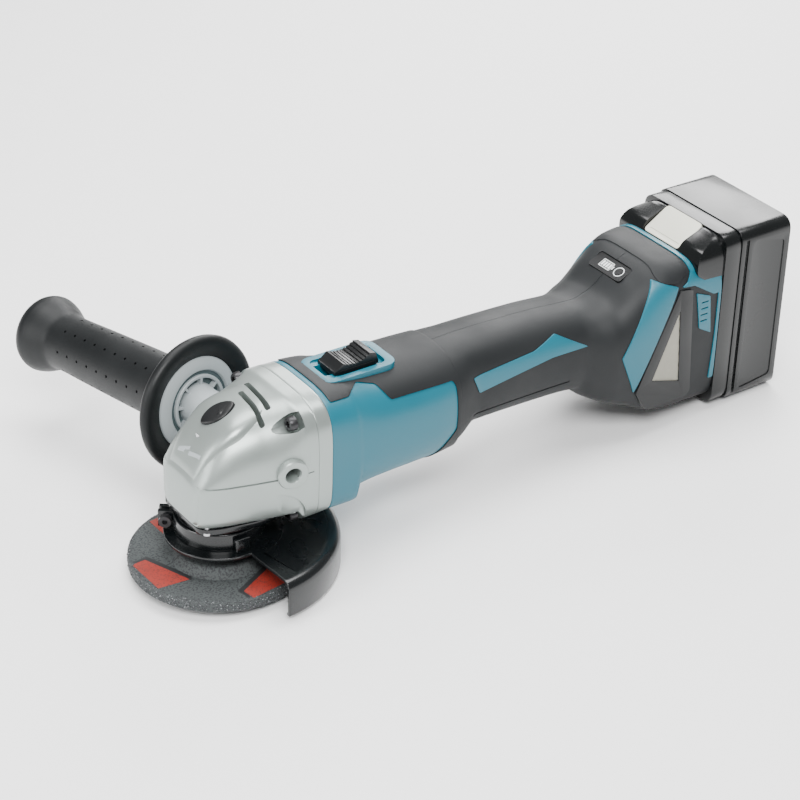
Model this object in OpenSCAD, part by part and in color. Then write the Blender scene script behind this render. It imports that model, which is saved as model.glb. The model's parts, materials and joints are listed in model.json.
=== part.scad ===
// Cordless angle grinder: gear head, brushless motor, slide battery, wheel, guard and side handle.
// Every module is drawn about the motor axis (along X, battery at +X) and the spindle axis (Z),
// and lift() then raises it so that the origin is the centre of the spindle's free end.

/* [Wheel and spindle] */
// Diameter of the grinding wheel
wheel_d = 100; // [90:1:110]
// Thickness of the grinding wheel
wheel_t = 6; // [3:0.5:7]
// Diameter of the wheel's mounting hole
wheel_bore_d = 16; // [15:0.5:20]
// How far the wheel's centre is raised above its rim
wheel_dish = 5.4; // [4:0.2:6]
// Diameter of the spindle's threaded end
spindle_d = 10; // [9:0.5:12]
// Depth of the wheel's lower face below the motor axis
wheel_drop = 61.6; // [60:0.2:66]

/* [Guard] */
// Outer diameter of the wheel guard
guard_d = 130; // [124:1:140]
// Height of the guard's skirt
guard_h = 21; // [18:1:24]
// Sheet thickness of the guard
guard_wall = 2; // [1.5:0.25:3]

/* [Gear head] */
// Half width of the head at its rear flange
head_hw = 35.5; // [34:0.5:38]
// Wall of the head casting
head_wall = 3.6; // [3:0.2:4]
// Length of the head's nose in front of the spindle
nose_len = 24; // [23:0.5:27]
// Teeth on the large bevel gear
gear_teeth = 32; // [30:1:36]
// Teeth on the motor pinion
pinion_teeth = 10; // [9:1:11]
// Thread diameter of the side handle
handle_thread_d = 8; // [8:1:10]

/* [Side handle] */
// Length of the side handle from the head to its end
handle_len = 161; // [130:1:170]
// Diameter of the side handle's grip
handle_grip_d = 35; // [32:0.5:38]
// Diameter of the side handle's hand stop
handle_stop_d = 78; // [70:1:84]
// Angle that the side handle leans towards the nose
handle_sweep = 10; // [0:1:12]
// Angle that the side handle droops
handle_droop = 5; // [0:1:6]

/* [Motor] */
// Outer diameter of the stator
stator_d = 52; // [48:1:54]
// Outer diameter of the rotor
rotor_d = 26; // [22:1:27]
// Length of the rotor's laminations
core_len = 38; // [30:1:40]
// Wall of the motor housing
motor_wall = 2.6; // [2:0.2:3]

/* [Grip] */
// Half width of the grip
grip_hw = 26; // [24:0.5:28]
// Length of the grip between the motor housing and the flare
grip_len = 100; // [88:1:112]
// Wall of the handle halves
grip_wall = 2.6; // [2:0.2:3]
// Travel of the slide switch
switch_travel = 7; // [4:0.5:8]

/* [Battery] */
// Width of the battery
battery_w = 74; // [73:0.5:76]
// Height of the battery
battery_h = 111; // [109:1:116]
// Depth of the battery behind its joint with the handle
battery_depth = 48; // [46:0.5:52]
// Diameter of one cell
cell_d = 18.2; // [17:0.1:18.4]
// Gap between parts that slide on each other
slide_gap = 0.4; // [0.3:0.05:0.5]

/* [Hidden] */
$fn = 48;
eps = 0.01;
run_gap = 0.04;                      // radial gap of a part that turns on another
paint = [0.74, 0.78, 0.76];
steel = [0.62, 0.63, 0.65];
black = [0.07, 0.07, 0.08];
rubber = [0.16, 0.17, 0.18];
teal = [0, 0.49, 0.56];
copper = [0.72, 0.42, 0.2];
brass = [0.78, 0.66, 0.36];
cream = [0.88, 0.87, 0.78];

// Spindle stack, heights measured from the motor axis
wheel_r = wheel_d / 2;
spindle_r = spindle_d / 2;
hub_low = -wheel_drop + wheel_dish;   // underside of the wheel's raised centre
hub_high = hub_low + wheel_t;
hub_r = 25;
nut_t = 3.2;
tip_len = 2;
tip_r = spindle_r - 1;
spindle_end = hub_low - nut_t - tip_len;
axis_h = -spindle_end;
flange_t = 6;
flange_r = 17;
shoulder_z = hub_high + flange_t;     // where the inner flange stops on the spindle
journal_r = spindle_r + 1;            // spindle radius in the lower bearing
top_journal_r = 3;

// Bevel gears share an apex where the two axes cross
gear_r = 20;
gear_in = 13.5;
cone = pinion_teeth / gear_teeth;
gear_low = -12.5;
gear_hub_r = journal_r + 3;
tooth_high = 0.9;
tooth_deep = 1.3;
lock_pin_x = -11.2;
lock_pin_r = 1.8;
lock_travel = 2.4;
lock_x = -1.5;
lock_z = 27;
lock_tilt = -28;
leaf_r = 12.14;
leaf_off = 5.14;
lock_gap = 0.8;
gear_web_z = -cone * (gear_in - 0.4) - tooth_deep * gear_in / gear_r;   // top of the ring gear's web

// Bearing box below the head
base_z = -25;                         // the head's lower face
spigot_r = 21.8;
box_flange_r = 30;
box_flange_t = 3.5;
box_screw_r = 25.4;
box_screw_angles = [45, 135, 225, 315];
box_screw_head_r = 2.6;
box_screw_head_t = 1.4;
box_screw_r0 = 1.6;
neck_r = 20.5;
neck_low = -42;
low_bearing_r = 16;
low_bearing_h = 10;
low_bearing_z = -24.5;
top_bearing_r = 5;
top_bearing_z = 12.5;
top_bearing_h = 7;

// Guard
guard_r = guard_d / 2;
guard_low = -wheel_drop - 0.4;
guard_top = guard_low + guard_h;
collar_r = neck_r + 0.08;
collar_wall = 2.2;
collar_top = base_z - box_flange_t - 1;
band_wall = 1.8;
band_angle = 142;

// Head, cover and motor housing stations along X
flange_x = 40;
cover_t = 9;
motor_x = flange_x + cover_t;
head_zt = 37;
head_zb = -34;
screw_y = 27;
screw_z = [28.6, -27.4];
screw_r = 2.2;
screw_head_r = 3.9;
screw_in = 17;
side_x = 24;                          // where the side handle's axis leaves the head
side_z = 3;
side_y = 35.5;
boss_r = 8.5;
front_bearing_r = 11;
front_bearing_w = 7;
rear_bearing_r = 8;
rear_bearing_w = 6;
shaft_r = 4;
shaft_rear_r = 3;
shaft_tip_r = 2.5;
fan_x = motor_x + 3;
fan_w = 10;
fan_r = 28.5;
baffle_x = fan_x + fan_w + 1.5;
core_x = baffle_x + 7;
board_x = core_x + core_len + 6;
rear_web_x = board_x + 4;
motor_end = rear_web_x + 16.5;
stator_r = stator_d / 2;
rotor_r = rotor_d / 2;

// Handle, flare and battery stations along X
flare_x = motor_end + grip_len;
hump_x = flare_x + 42;
joint_x = flare_x + 80;               // the battery's near face meets the handle here
head_cut_x = joint_x - 20;            // the battery's overhang starts here, above the sides
battery_end = joint_x + battery_depth;
battery_mid = 8;
battery_top = battery_mid + battery_h / 2;
battery_low = battery_mid - battery_h / 2;
flare_hw = battery_w / 2 - 1;
flare_zt = 51;
flare_zb = -45;
trim_t = 0.9;
shelf_z = 43;                         // the battery's overhang stays above this
tongue_hw = 24;
tongue_x = head_cut_x + 6;
case_wall = 2.2;
case_split = joint_x + 11;
rail_w = 3;
knob_x = motor_x + 32;
bezel_len = 46;
bezel_w = 30;
link_z = 28.4;

// One corner of a rounded outline: keeps the sign of v and flattens it by the power p
function bow(v, p) = (v < 0 ? -1 : 1) * pow(abs(v), p);
// A station is [x, half width, top, bottom, parting height, upper squareness, lower squareness]
function section(s, inset, a) =
  let (c = cos(a), q = sin(a), n = q >= 0 ? s[5] : s[6], hw = s[1] - inset)
  [s[0], hw * bow(c, 2 / n),
   s[4] + (q >= 0 ? s[2] - inset - s[4] : s[4] - s[3] - inset) * bow(q, 2 / n)];
// Stations between two given ones follow a smooth step
function ease(t) = t * t * (3 - 2 * t);
function between(a, b, t) = [for (i = [0:6]) i == 0 ? a[0] + (b[0] - a[0]) * t
                                                     : a[i] + (b[i] - a[i]) * ease(t)];
function refine(list, n) = concat(
  [for (k = [0:len(list) - 2]) for (j = [0:n - 1]) between(list[k], list[k + 1], j / n)],
  [list[len(list) - 1]]);

// A wall between two insets of the same outline, from angle a0 to a1, swept through the stations
module wall_sweep(stations, outer, inner, a0, a1, steps) {
  m = steps + 1;
  ring = 2 * m;
  n = len(stations);
  points = [for (s = stations) each concat(
    [for (j = [0:steps]) section(s, outer, a0 + (a1 - a0) * j / steps)],
    [for (j = [0:steps]) section(s, inner, a0 + (a1 - a0) * j / steps)])];
  loop = concat([for (j = [0:m - 1]) j], [for (j = [0:m - 1]) 2 * m - 1 - j]);
  faces = concat(
    [for (k = [0:n - 2]) for (j = [0:ring - 1])
      let (p = loop[j], q = loop[(j + 1) % ring], u = k * ring, v = (k + 1) * ring)
      each j < m ? [[u + p, v + p, u + q], [u + q, v + p, v + q]]
                 : [[u + p, v + p, v + q], [u + p, v + q, u + q]]],
    [for (j = [0:m - 2]) each [[j, j + 1, m + j], [j + 1, m + j + 1, m + j]]],
    [for (j = [0:m - 2]) let (u = (n - 1) * ring)
      each [[u + j, u + m + j, u + j + 1], [u + j + 1, u + m + j, u + m + j + 1]]]);
  polyhedron(points, faces, convexity = 6);
}

// A closed solid swept through the stations
module solid_sweep(stations, inset, steps) {
  n = len(stations);
  points = [for (s = stations) each [for (j = [0:steps - 1]) section(s, inset, 360 * j / steps)]];
  faces = concat(
    [for (k = [0:n - 2]) for (j = [0:steps - 1])
      let (p = j, q = (j + 1) % steps, u = k * steps, v = (k + 1) * steps)
      each [[u + p, v + p, u + q], [u + q, v + p, v + q]]],
    [[for (j = [0:steps - 1]) j]],
    [[for (j = [0:steps - 1]) n * steps - 1 - j]]);
  polyhedron(points, faces, convexity = 4);
}

// An open coil spring along Z
module coil(r, wire, turns, height) {
  sides = 6;
  per_turn = 14;
  n = turns * per_turn;
  points = [for (i = [0:n]) for (j = [0:sides - 1])
    let (a = 360 * i / per_turn, b = 360 * j / sides, d = r + wire / 2 * cos(b))
    [d * cos(a), d * sin(a), wire / 2 + (height - wire) * i / n + wire / 2 * sin(b)]];
  faces = concat(
    [for (i = [0:n - 1]) for (j = [0:sides - 1])
      let (p = i * sides + j, q = i * sides + (j + 1) % sides)
      each [[p, p + sides, q], [q, p + sides, q + sides]]],
    [[for (j = [0:sides - 1]) j]],
    [[for (j = [0:sides - 1]) (n + 1) * sides - 1 - j]]);
  polyhedron(points, faces, convexity = 8);
}

module lift() { translate([0, 0, axis_h]) children(); }
module along_x(x = 0) { translate([x, 0, 0]) rotate([0, 90, 0]) children(); }
module ring(r_out, r_in, h) {
  difference() {
    cylinder(r = r_out, h = h);
    translate([0, 0, -1]) cylinder(r = r_in, h = h + 2);
  }
}
// Carries a shape drawn along +Z onto the side handle's axis; side is 1 for the far side, -1 near
module on_side_axis(side) {
  translate([side_x, side * side_y, side_z])
    rotate([0, 0, side * handle_sweep])
      rotate([-side * (90 + handle_droop), 0, 0])
        children();
}
module screw(head_r, head_h, shank_r, length) {
  difference() {
    cylinder(r = head_r, h = head_h);
    translate([0, 0, -eps]) cylinder(r = head_r * 0.5, h = head_h * 0.6, $fn = 6);
  }
  translate([0, 0, head_h]) cylinder(r = shank_r, h = length);
}

// ---- Gear head ----
head_stations = [
  [-nose_len, 16, 0.5, base_z + 2, -6, 2.8, 7],
  [-nose_len + 2.6, 19.8, 5, base_z, -3, 2.6, 7],
  [-14, 24, 17.5, base_z, -1, 2.3, 8],
  [-2, 27.8, 28, base_z, 0, 2.3, 8],
  [12, 31.5, 33.5, base_z, 1, 2.3, 8],
  [23, 34, 35.8, base_z, 1, 2.6, 8],
  [29, 34.8, 36.4, base_z, 1, 3.2, 8],
  [33, head_hw, head_zt, head_zb, 1, 3.8, 5],
  [flange_x, head_hw, head_zt, head_zb, 1, 3.8, 5]];

module gear_housing() {
  color(paint) lift() difference() {
    union() {
      difference() {
        solid_sweep(head_stations, 0, 40);
        solid_sweep(head_cavity(), head_wall, 40);
      }
      intersection() {
        solid_sweep(head_stations, head_wall / 2, 40);
        union() {
          // roof boss for the top bearing and the lock pin
          translate([0, 0, top_bearing_z - 0.5]) cylinder(r = 7.2, h = 30);
          translate([lock_pin_x, 0, 9]) cylinder(r = 4.6, h = 30);
          translate([lock_pin_x, -2, top_bearing_z - 0.5]) cube([-lock_pin_x, 4, 30]);
          // seat ring around the opening for the bearing box
          translate([0, 0, base_z]) ring(30.5, spigot_r, 9);
          for (side = [1, -1]) on_side_axis(side)
            translate([0, 0, -14]) cylinder(r = boss_r, h = 20);
          for (y = [-screw_y, screw_y], z = screw_z)
            translate([28, y, z]) rotate([0, 90, 0]) cylinder(r = 6, h = flange_x - 28);
        }
      }
      for (side = [1, -1]) on_side_axis(side) translate([0, 0, -6]) cylinder(r = boss_r, h = 6.4);
    }
    translate([0, 0, base_z - 12]) cylinder(r = spigot_r, h = 24);
    translate([0, 0, top_bearing_z - 1]) cylinder(r = top_bearing_r, h = top_bearing_h + 1);
    translate([lock_pin_x, 0, 0]) cylinder(r = lock_pin_r + run_gap, h = 40);
    translate([lock_pin_x, 0, top_bearing_z]) cylinder(r = 3.6, h = 30);
    // straight well that the lock button is pressed into
    lock_well(0.25, lock_travel + 0.4);
    for (side = [1, -1]) on_side_axis(side) translate([0, 0, -20]) cylinder(r = handle_thread_d / 2, h = 30);
    // exhaust slots on the roof
    for (at = [[12.5, -12.5], [21, -3.5]]) translate([at[0], at[1], 26]) linear_extrude(20) exhaust_slot();
    // screw pockets and screw holes
    for (y = [-screw_y, screw_y], z = screw_z) translate([0, y, z]) {
      along_x(2) cylinder(r = 4.9, h = 28);
      along_x(2) cylinder(r = screw_r + 0.2, h = 50);
    }
    // holes for the bearing box screws
    for (a = box_screw_angles) rotate(a) translate([box_screw_r, 0, base_z - 1])
      cylinder(r = box_screw_r0, h = 9);
    side_arches();
  }
}
function head_cavity() = concat(
  [for (i = [1:len(head_stations) - 2]) head_stations[i]],
  [[flange_x + 1, head_hw, head_zt, head_zb, 1, 3.8, 5]]);
module exhaust_slot() {
  translate([-1.2, -12.6]) square([2.4, 25.2]);
  for (y = [-12.6, 12.6]) translate([0, y]) circle(r = 1.2);
}
// Shallow arched recesses low on both sides of the head
module side_arches() {
  for (side = [-1, 1]) translate([14, side * 36, base_z - 2]) rotate([90, 0, 0])
    translate([0, 0, -3]) linear_extrude(6) intersection() {
      scale([1, 1]) circle(r = 19);
      translate([-30, 0]) square([60, 40]);
    }
}
// Leaf-shaped outline of the lock button, seen from above
module leaf(grow) {
  intersection() {
    translate([0, -leaf_off]) circle(r = leaf_r + grow);
    translate([0, leaf_off]) circle(r = leaf_r + grow);
  }
}
// Upright leaf-shaped column above a slanting floor; deep lowers the floor
module lock_well(grow, deep) {
  intersection() {
    translate([lock_x, 0, 0]) linear_extrude(60) leaf(grow);
    translate([lock_x, 0, lock_z - deep]) rotate([0, lock_tilt, 0]) translate([-30, -30, -2]) cube(60);
  }
}
module gear_housing_cover() {
  color(paint) lift() difference() {
    union() {
      difference() {
        solid_sweep([[flange_x, head_hw, head_zt, head_zb, 1, 3.8, 5],
                     [motor_x, head_hw - 0.3, head_zt - 0.3, head_zb + 0.3, 1, 3.8, 5]], 0, 40);
        along_x(flange_x + 2.5) cylinder(r = 27, h = cover_t);
      }
      along_x(flange_x) cylinder(r = front_bearing_r + 2.6, h = cover_t);
      for (y = [-screw_y, screw_y], z = screw_z) translate([flange_x, y, z])
        intersection() {
          rotate([0, 90, 0]) cylinder(r = 5.4, h = cover_t);
          translate([0, -y - 33, -z - 31]) cube([cover_t, 66, 64]);
        }
    }
    along_x(flange_x - 1) cylinder(r = shaft_r + 3.5, h = cover_t + 2);
    along_x(motor_x - front_bearing_w) cylinder(r = front_bearing_r, h = cover_t + 2);
    for (a = [0:45:315]) rotate([a, 0, 0]) translate([flange_x - 1, 0, 20.2])
      rotate([0, 90, 0]) cylinder(r = 4.4, h = cover_t + 2);
    for (y = [-screw_y, screw_y], z = screw_z) translate([0, y, z])
      along_x(flange_x - 1) cylinder(r = screw_r + 0.2, h = cover_t + 2);
  }
}
module gear_housing_screws() {
  color(black) lift() for (y = [-screw_y, screw_y], z = screw_z)
    translate([26, y, z]) rotate([0, 90, 0]) screw(screw_head_r, 4, screw_r, flange_x + cover_t + screw_in - 30);
}
// Outline of the head's lower face seen from above, drawn in by inset
function head_plan(inset) = let (front = [for (s = head_stations) if (s[0] < 29.5) s])
  concat([for (s = front) [s[0] + (s[0] < -22 ? inset : 0), s[1] - inset]],
         [for (i = [len(front) - 1:-1:0]) [front[i][0] + (i == 0 ? inset : 0), inset - front[i][1]]]);
module bearing_box() {
  color(black) lift() difference() {
    union() {
      translate([0, 0, base_z - box_flange_t]) linear_extrude(box_flange_t) intersection() {
        circle(r = box_flange_r);
        polygon(head_plan(1));
      }
      translate([0, 0, base_z - eps]) cylinder(r = spigot_r - 0.1, h = low_bearing_h + 0.4);
      translate([0, 0, neck_low]) cylinder(r = neck_r, h = base_z - box_flange_t - neck_low + eps);
    }
    translate([0, 0, low_bearing_z]) cylinder(r = low_bearing_r, h = low_bearing_h + 5);
    translate([0, 0, neck_low - 1]) cylinder(r = journal_r + 1, h = 30);
    translate([0, 0, neck_low - 1]) cylinder(r = neck_r - 3, h = 11);
    for (a = box_screw_angles) rotate(a) translate([box_screw_r, 0, base_z - box_flange_t - 1]) {
      cylinder(r = box_screw_r0 + 0.2, h = 6);
      cylinder(r = box_screw_head_r + 0.1, h = 1 + box_screw_head_t);
    }
  }
}
module bearing_box_screws() {
  color(steel) lift() for (a = box_screw_angles) rotate(a) translate([box_screw_r, 0, base_z - box_flange_t])
    screw(box_screw_head_r, box_screw_head_t, box_screw_r0, box_flange_t + 5);
}
module shaft_lock_button() {
  color(black) lift() difference() {
    intersection() {
      lock_well(0, 0);
      translate([-20, -10, 18]) cube([40, 20, 30]);
      solid_sweep([for (s = head_stations) [s[0] , s[1], s[2] + 1.6, s[3], s[4], s[5], s[6]]], 0, 40);
    }
    translate([lock_pin_x, 0, 0]) cylinder(r = lock_pin_r, h = 21);
  }
}
module shaft_lock_pin() {
  color(steel) lift() translate([lock_pin_x, 0, gear_web_z + lock_gap])
    cylinder(r = lock_pin_r, h = 21 - gear_web_z - lock_gap);
}
module shaft_lock_spring() {
  color(steel) lift() translate([lock_pin_x, 0, top_bearing_z]) coil(2.7, 0.6, 3, 5);
}

// ---- Spindle and gears ----
module spindle() {
  color(steel) lift() {
    translate([0, 0, spindle_end]) cylinder(r = tip_r, h = tip_len + eps);
    translate([0, 0, spindle_end + tip_len]) cylinder(r = spindle_r, h = shoulder_z - spindle_end - tip_len);
    translate([0, 0, shoulder_z]) cylinder(r = journal_r, h = gear_low + 6 - shoulder_z + 1);
    translate([0, 0, gear_low + 7]) cylinder(r = top_journal_r, h = top_bearing_z + top_bearing_h - 1.5 - gear_low - 7);
  }
}
// One straight bevel tooth, pointing up at radius r along +X
module bevel_tooth(pitch_share_base, pitch_share_top) {
  function end(r) = let (p = 2 * PI * r / gear_teeth, k = r / gear_r, z = -cone * r)
    [[r, -p * pitch_share_base, z - tooth_deep * k - 0.6], [r, p * pitch_share_base, z - tooth_deep * k - 0.6],
     [r, p * pitch_share_top, z + tooth_high * k], [r, -p * pitch_share_top, z + tooth_high * k]];
  polyhedron(concat(end(gear_in), end(gear_r)),
    [[0, 1, 2, 3], [7, 6, 5, 4], [0, 4, 5, 1], [1, 5, 6, 2], [2, 6, 7, 3], [3, 7, 4, 0]]);
}
module ring_gear() {
  color(steel) lift() {
    difference() {
      rotate_extrude() polygon([[journal_r, gear_low], [gear_r + 0.4, gear_low],
        [gear_r + 0.4, -cone * (gear_r + 0.4) - tooth_deep],
        [gear_in - 0.4, -cone * (gear_in - 0.4) - tooth_deep * gear_in / gear_r],
        [gear_hub_r, -cone * (gear_in - 0.4) - tooth_deep * gear_in / gear_r],
        [journal_r, -cone * (gear_in - 0.4) - tooth_deep * gear_in / gear_r]]);
      for (a = [0:30:330]) rotate(a) translate([lock_pin_x, 0, gear_low - 1]) cylinder(r = 2, h = 20);
    }
    for (i = [0:gear_teeth - 1]) rotate((i + 0.5) * 360 / gear_teeth) bevel_tooth(0.24, 0.1);
  }
}
module pinion_tooth() {
  function end(x) = let (p = 2 * PI * x / gear_teeth, k = x / gear_r, r = cone * x)
    [[x, -p * 0.24, r - tooth_deep * k - 0.3], [x, p * 0.24, r - tooth_deep * k - 0.3],
     [x, p * 0.1, r + tooth_high * k], [x, -p * 0.1, r + tooth_high * k]];
  polyhedron(concat(end(gear_in + 0.15), end(gear_r - 0.15)),
    [[0, 1, 2, 3], [7, 6, 5, 4], [0, 4, 5, 1], [1, 5, 6, 2], [2, 6, 7, 3], [3, 7, 4, 0]]);
}
module pinion() {
  color(steel) lift() {
    rotate_extrude_x([[gear_in, shaft_tip_r], [gear_in, cone * gear_in - tooth_deep * gear_in / gear_r],
      [gear_r, cone * gear_r - tooth_deep], [gear_r + 4, cone * gear_r - tooth_deep], [gear_r + 4, shaft_tip_r]]);
    for (i = [0:pinion_teeth - 1]) rotate([180 + i * 360 / pinion_teeth, 0, 0]) pinion_tooth();
  }
}
// Turns an outline given as [x, radius] about the motor axis
module rotate_extrude_x(outline) {
  rotate([0, 90, 0]) rotate_extrude() polygon([for (p = outline) [p[1], p[0]]]);
}
module bearing(r_out, r_in, w) {
  rotate_extrude() {
    translate([r_in, 0]) square([(r_out - r_in) * 0.28, w]);
    translate([r_out - (r_out - r_in) * 0.28, 0]) square([(r_out - r_in) * 0.28, w]);
    translate([r_in + (r_out - r_in) * 0.28 - eps, w * 0.12]) square([(r_out - r_in) * 0.44 + 2 * eps, w * 0.76]);
  }
}
module spindle_bearing() {
  color(steel) lift() translate([0, 0, low_bearing_z])
    bearing(low_bearing_r, journal_r + run_gap, low_bearing_h);
}
module spindle_top_bearing() {
  color(steel) lift() translate([0, 0, top_bearing_z]) ring(top_bearing_r, top_journal_r + run_gap, top_bearing_h);
}

// ---- Motor ----
module rotor_shaft() {
  color(steel) lift() {
    along_x(gear_in - 2) cylinder(r = shaft_tip_r, h = gear_r + 6 - gear_in);
    along_x(gear_r + 4) cylinder(r = shaft_r, h = core_x + core_len + 4 - gear_r - 4);
    along_x(core_x + core_len + 4) cylinder(r = shaft_rear_r, h = rear_web_x + rear_bearing_w + 1 - core_x - core_len - 4);
  }
}
module rotor_core() {
  color(steel) lift() along_x(core_x) ring(rotor_r, shaft_r, core_len);
}
module fan() {
  color(black) lift() along_x(fan_x) {
    ring(7, shaft_r, fan_w);
    translate([0, 0, fan_w - 1.6]) ring(fan_r, 6.5, 1.6);
    for (a = [0:40:320]) rotate(a) translate([6, 0, 0]) linear_extrude(fan_w - 1)
      polygon([[0, -0.7], [10, 1.6], [fan_r - 6.6, 7], [fan_r - 6.6, 8.6], [10, 3.4], [0, 0.9]]);
  }
}
module motor_front_bearing() {
  color(steel) lift() along_x(motor_x - front_bearing_w) bearing(front_bearing_r, shaft_r + run_gap, front_bearing_w);
}
module motor_rear_bearing() {
  color(steel) lift() along_x(rear_web_x) bearing(rear_bearing_r, shaft_rear_r + run_gap, rear_bearing_w);
}
module stator() {
  color(steel) lift() along_x(core_x) difference() {
    union() {
      ring(stator_r, stator_r - 3.6, core_len);
      for (a = [0:60:300]) rotate(a) {
        translate([rotor_r + 1.8, -2.6, 0]) cube([stator_r - rotor_r - 4, 5.2, core_len]);
        intersection() {
          ring(rotor_r + 2.4, rotor_r + 0.5, core_len);
          translate([0, -6, 0]) cube([30, 12, core_len]);
        }
      }
    }
  }
}
module stator_coils() {
  color(copper) lift() along_x(core_x) for (a = [0:60:300]) rotate(a) difference() {
    translate([rotor_r + 2.8, -4.6, -3]) cube([stator_r - rotor_r - 7.4, 9.2, core_len + 6]);
    translate([rotor_r, -2.65, -0.1]) cube([stator_r - rotor_r, 5.3, core_len + 0.2]);
  }
}
module sensor_board() {
  color("darkgreen") lift() along_x(board_x) difference() {
    ring(stator_r - 2, 8, 1.6);
    for (a = [30:120:270]) rotate(a) translate([stator_r - 6, 0, -1]) cylinder(r = 1.4, h = 4);
  }
}
module baffle_plate() {
  color(black) lift() along_x(baffle_x) ring(stator_r + 1.4, 17, 2);
}
motor_stations = [
  [motor_x, head_hw - 0.3, head_zt - 0.3, head_zb + 0.3, 1, 3.8, 5],
  [motor_x + 17, 35, 35.8, -32.8, 1, 3.3, 5.6],
  [motor_x + 19.5, 34.6, 35.5, -31, 1, 3.1, 2.9],
  [motor_x + 36, 33.6, 34.6, -30.4, 1.5, 2.6, 2.6],
  [motor_end - 16, 33, 34, -30, 2, 2.5, 2.5],
  [motor_end, 31.4, 33.8, -29, 3, 2.5, 2.5]];
module motor_housing() {
  color(teal) lift() difference() {
    union() {
      difference() {
        solid_sweep(motor_stations, 0, 40);
        translate([-1, 0, 0]) solid_sweep([for (i = [0:len(motor_stations) - 1])
          let (s = motor_stations[i], last = len(motor_stations) - 1)
          [s[0] + (i == last ? 3 : 0), s[1], s[2], s[3], s[4], s[5], s[6]]], motor_wall, 40);
      }
      intersection() {
        solid_sweep(motor_stations, motor_wall / 2, 40);
        union() {
          for (y = [-screw_y, screw_y], z = screw_z) translate([motor_x, y, z])
            rotate([0, 90, 0]) cylinder(r = 5.6, h = screw_in);
          // rear web with the rear bearing's seat
          along_x(rear_web_x) ring(rear_bearing_r + 2.6, rear_bearing_r, rear_bearing_w + 2);
          for (a = [45:90:359]) rotate([a, 0, 0]) translate([rear_web_x, rear_bearing_r + 1, -2.5])
            cube([rear_bearing_w + 2, 30, 5]);
          // ribs that hold the stator and the baffle plate
          for (a = [0:60:359]) rotate([a, 0, 0]) translate([core_x, stator_r, -1.5])
            cube([core_len, 10, 3]);
        }
      }
    }
    for (y = [-screw_y, screw_y], z = screw_z) translate([0, y, z])
      along_x(motor_x - 1) cylinder(r = screw_r, h = screw_in + 1.6);
    // opening for the switch knob's stem
    translate([knob_x - 11 - switch_travel, -5, 20]) cube([22 + switch_travel, 10, 30]);
    // shallow floor under the knob's plate
    translate([knob_x - 15 - switch_travel, -9.2, head_zt - 1.6]) cube([30 + switch_travel, 18.4, 5]);
  }
}

// ---- Slide switch ----
module switch_bezel() {
  color(teal) lift() difference() {
    translate([knob_x, 0, 28]) linear_extrude(8.6) stadium(bezel_len, bezel_w, 7);
    solid_sweep(motor_stations, 0, 40);
    translate([knob_x - switch_travel / 2, 0, 24]) linear_extrude(20)
      stadium(30 + switch_travel, 19, 4);
  }
}
// Rectangle with round corners, made of straight and round pieces
module stadium(l, w, r) {
  square([l - 2 * r, w], center = true);
  square([l, w - 2 * r], center = true);
  for (x = [-1, 1], y = [-1, 1]) translate([x * (l / 2 - r), y * (w / 2 - r)]) circle(r = r);
}
module switch_knob() {
  color(black) lift() difference() {
    union() {
      translate([knob_x, 0, head_zt - 1.2]) linear_extrude(2.2) stadium(28, 17.6, 3.6);
      translate([knob_x, 8.4, head_zt + 1 - eps]) rotate([90, 0, 0]) linear_extrude(16.8)
        polygon([[-12, 0], [-10, 3.2], [-3, 2.2], [3, 2.4], [9, 5], [12, 4], [13, 0]]);
      translate([knob_x - 10, -4.2, link_z + 1]) cube([20, 8.4, head_zt - link_z]);
    }
    for (i = [-3:3]) translate([knob_x + i * 2.7 - 1, -10, head_zt + 1.4 + abs(i) * 0.28])
      cube([0.9, 20, 9]);
  }
}
link_end = motor_end + 34;
unit_top = 17;
module switch_link() {
  color(black) lift() {
    difference() {
      translate([knob_x - 10, -4, link_z - 0.6]) cube([link_end - knob_x + 10, 8, 1.6]);
      translate([knob_x + 30, -2, link_z - 2]) cube([30, 4, 5]);
    }
    translate([link_end - 4, -4, unit_top - 3]) cube([4, 8, link_z - unit_top + 3]);
  }
}
spring_len = 14;
module switch_spring() {
  color(steel) lift() translate([link_end, 0, link_z - 4.6]) rotate([0, 90, 0])
    coil(2.4, 0.6, 6, spring_len);
}
module switch_unit() {
  color(rubber) lift() difference() {
    union() {
      translate([motor_end + 14, -11, -9]) cube([42, 22, unit_top + 9]);
      translate([link_end + spring_len, -4, unit_top - eps]) cube([3, 8, 10]);
    }
    translate([link_end - 5 - switch_travel, -4 - slide_gap, unit_top - 5])
      cube([switch_travel + 6, 8 + 2 * slide_gap, 10]);
  }
}

// ---- Handle halves ----
handle_stations = [
  [motor_end, 31.4, 33.8, -29, 3, 2.5, 2.5],
  [motor_end + 5, 30.2, 33.9, -26, 4, 2.5, 2.5],
  [motor_end + 17, grip_hw + 0.6, 34.2, -18.2, 6, 2.6, 2.6],
  [motor_end + 66, grip_hw, 33, -19, 6, 2.7, 2.6],
  [flare_x - 10, grip_hw + 0.2, 31, -20.6, 5, 2.7, 2.7],
  [flare_x - 3, 29, 30.6, -26, 4, 2.6, 3.2],
  [flare_x + 9, 34, 33.4, -31.4, 3, 2.6, 4],
  [flare_x + 24, flare_hw - 0.4, 44, -37, 3, 3.1, 5],
  [flare_x + 34, flare_hw, flare_zt - 1.6, -41, 3, 4, 6],
  [hump_x, flare_hw, flare_zt + 0.4, -43.6, 3, 5, 6],
  [hump_x + 12, flare_hw, flare_zt + 0.4, flare_zb, 3, 6, 6],
  [joint_x - 0.6, flare_hw, flare_zt - 1, flare_zb, 3, 6, 6]];
rear_wall_x = head_cut_x - 3;
handle_screw_at = [[motor_end + 9, -11], [flare_x - 14, -13], [flare_x + 40, -33], [flare_x + 40, 41]];
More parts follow.
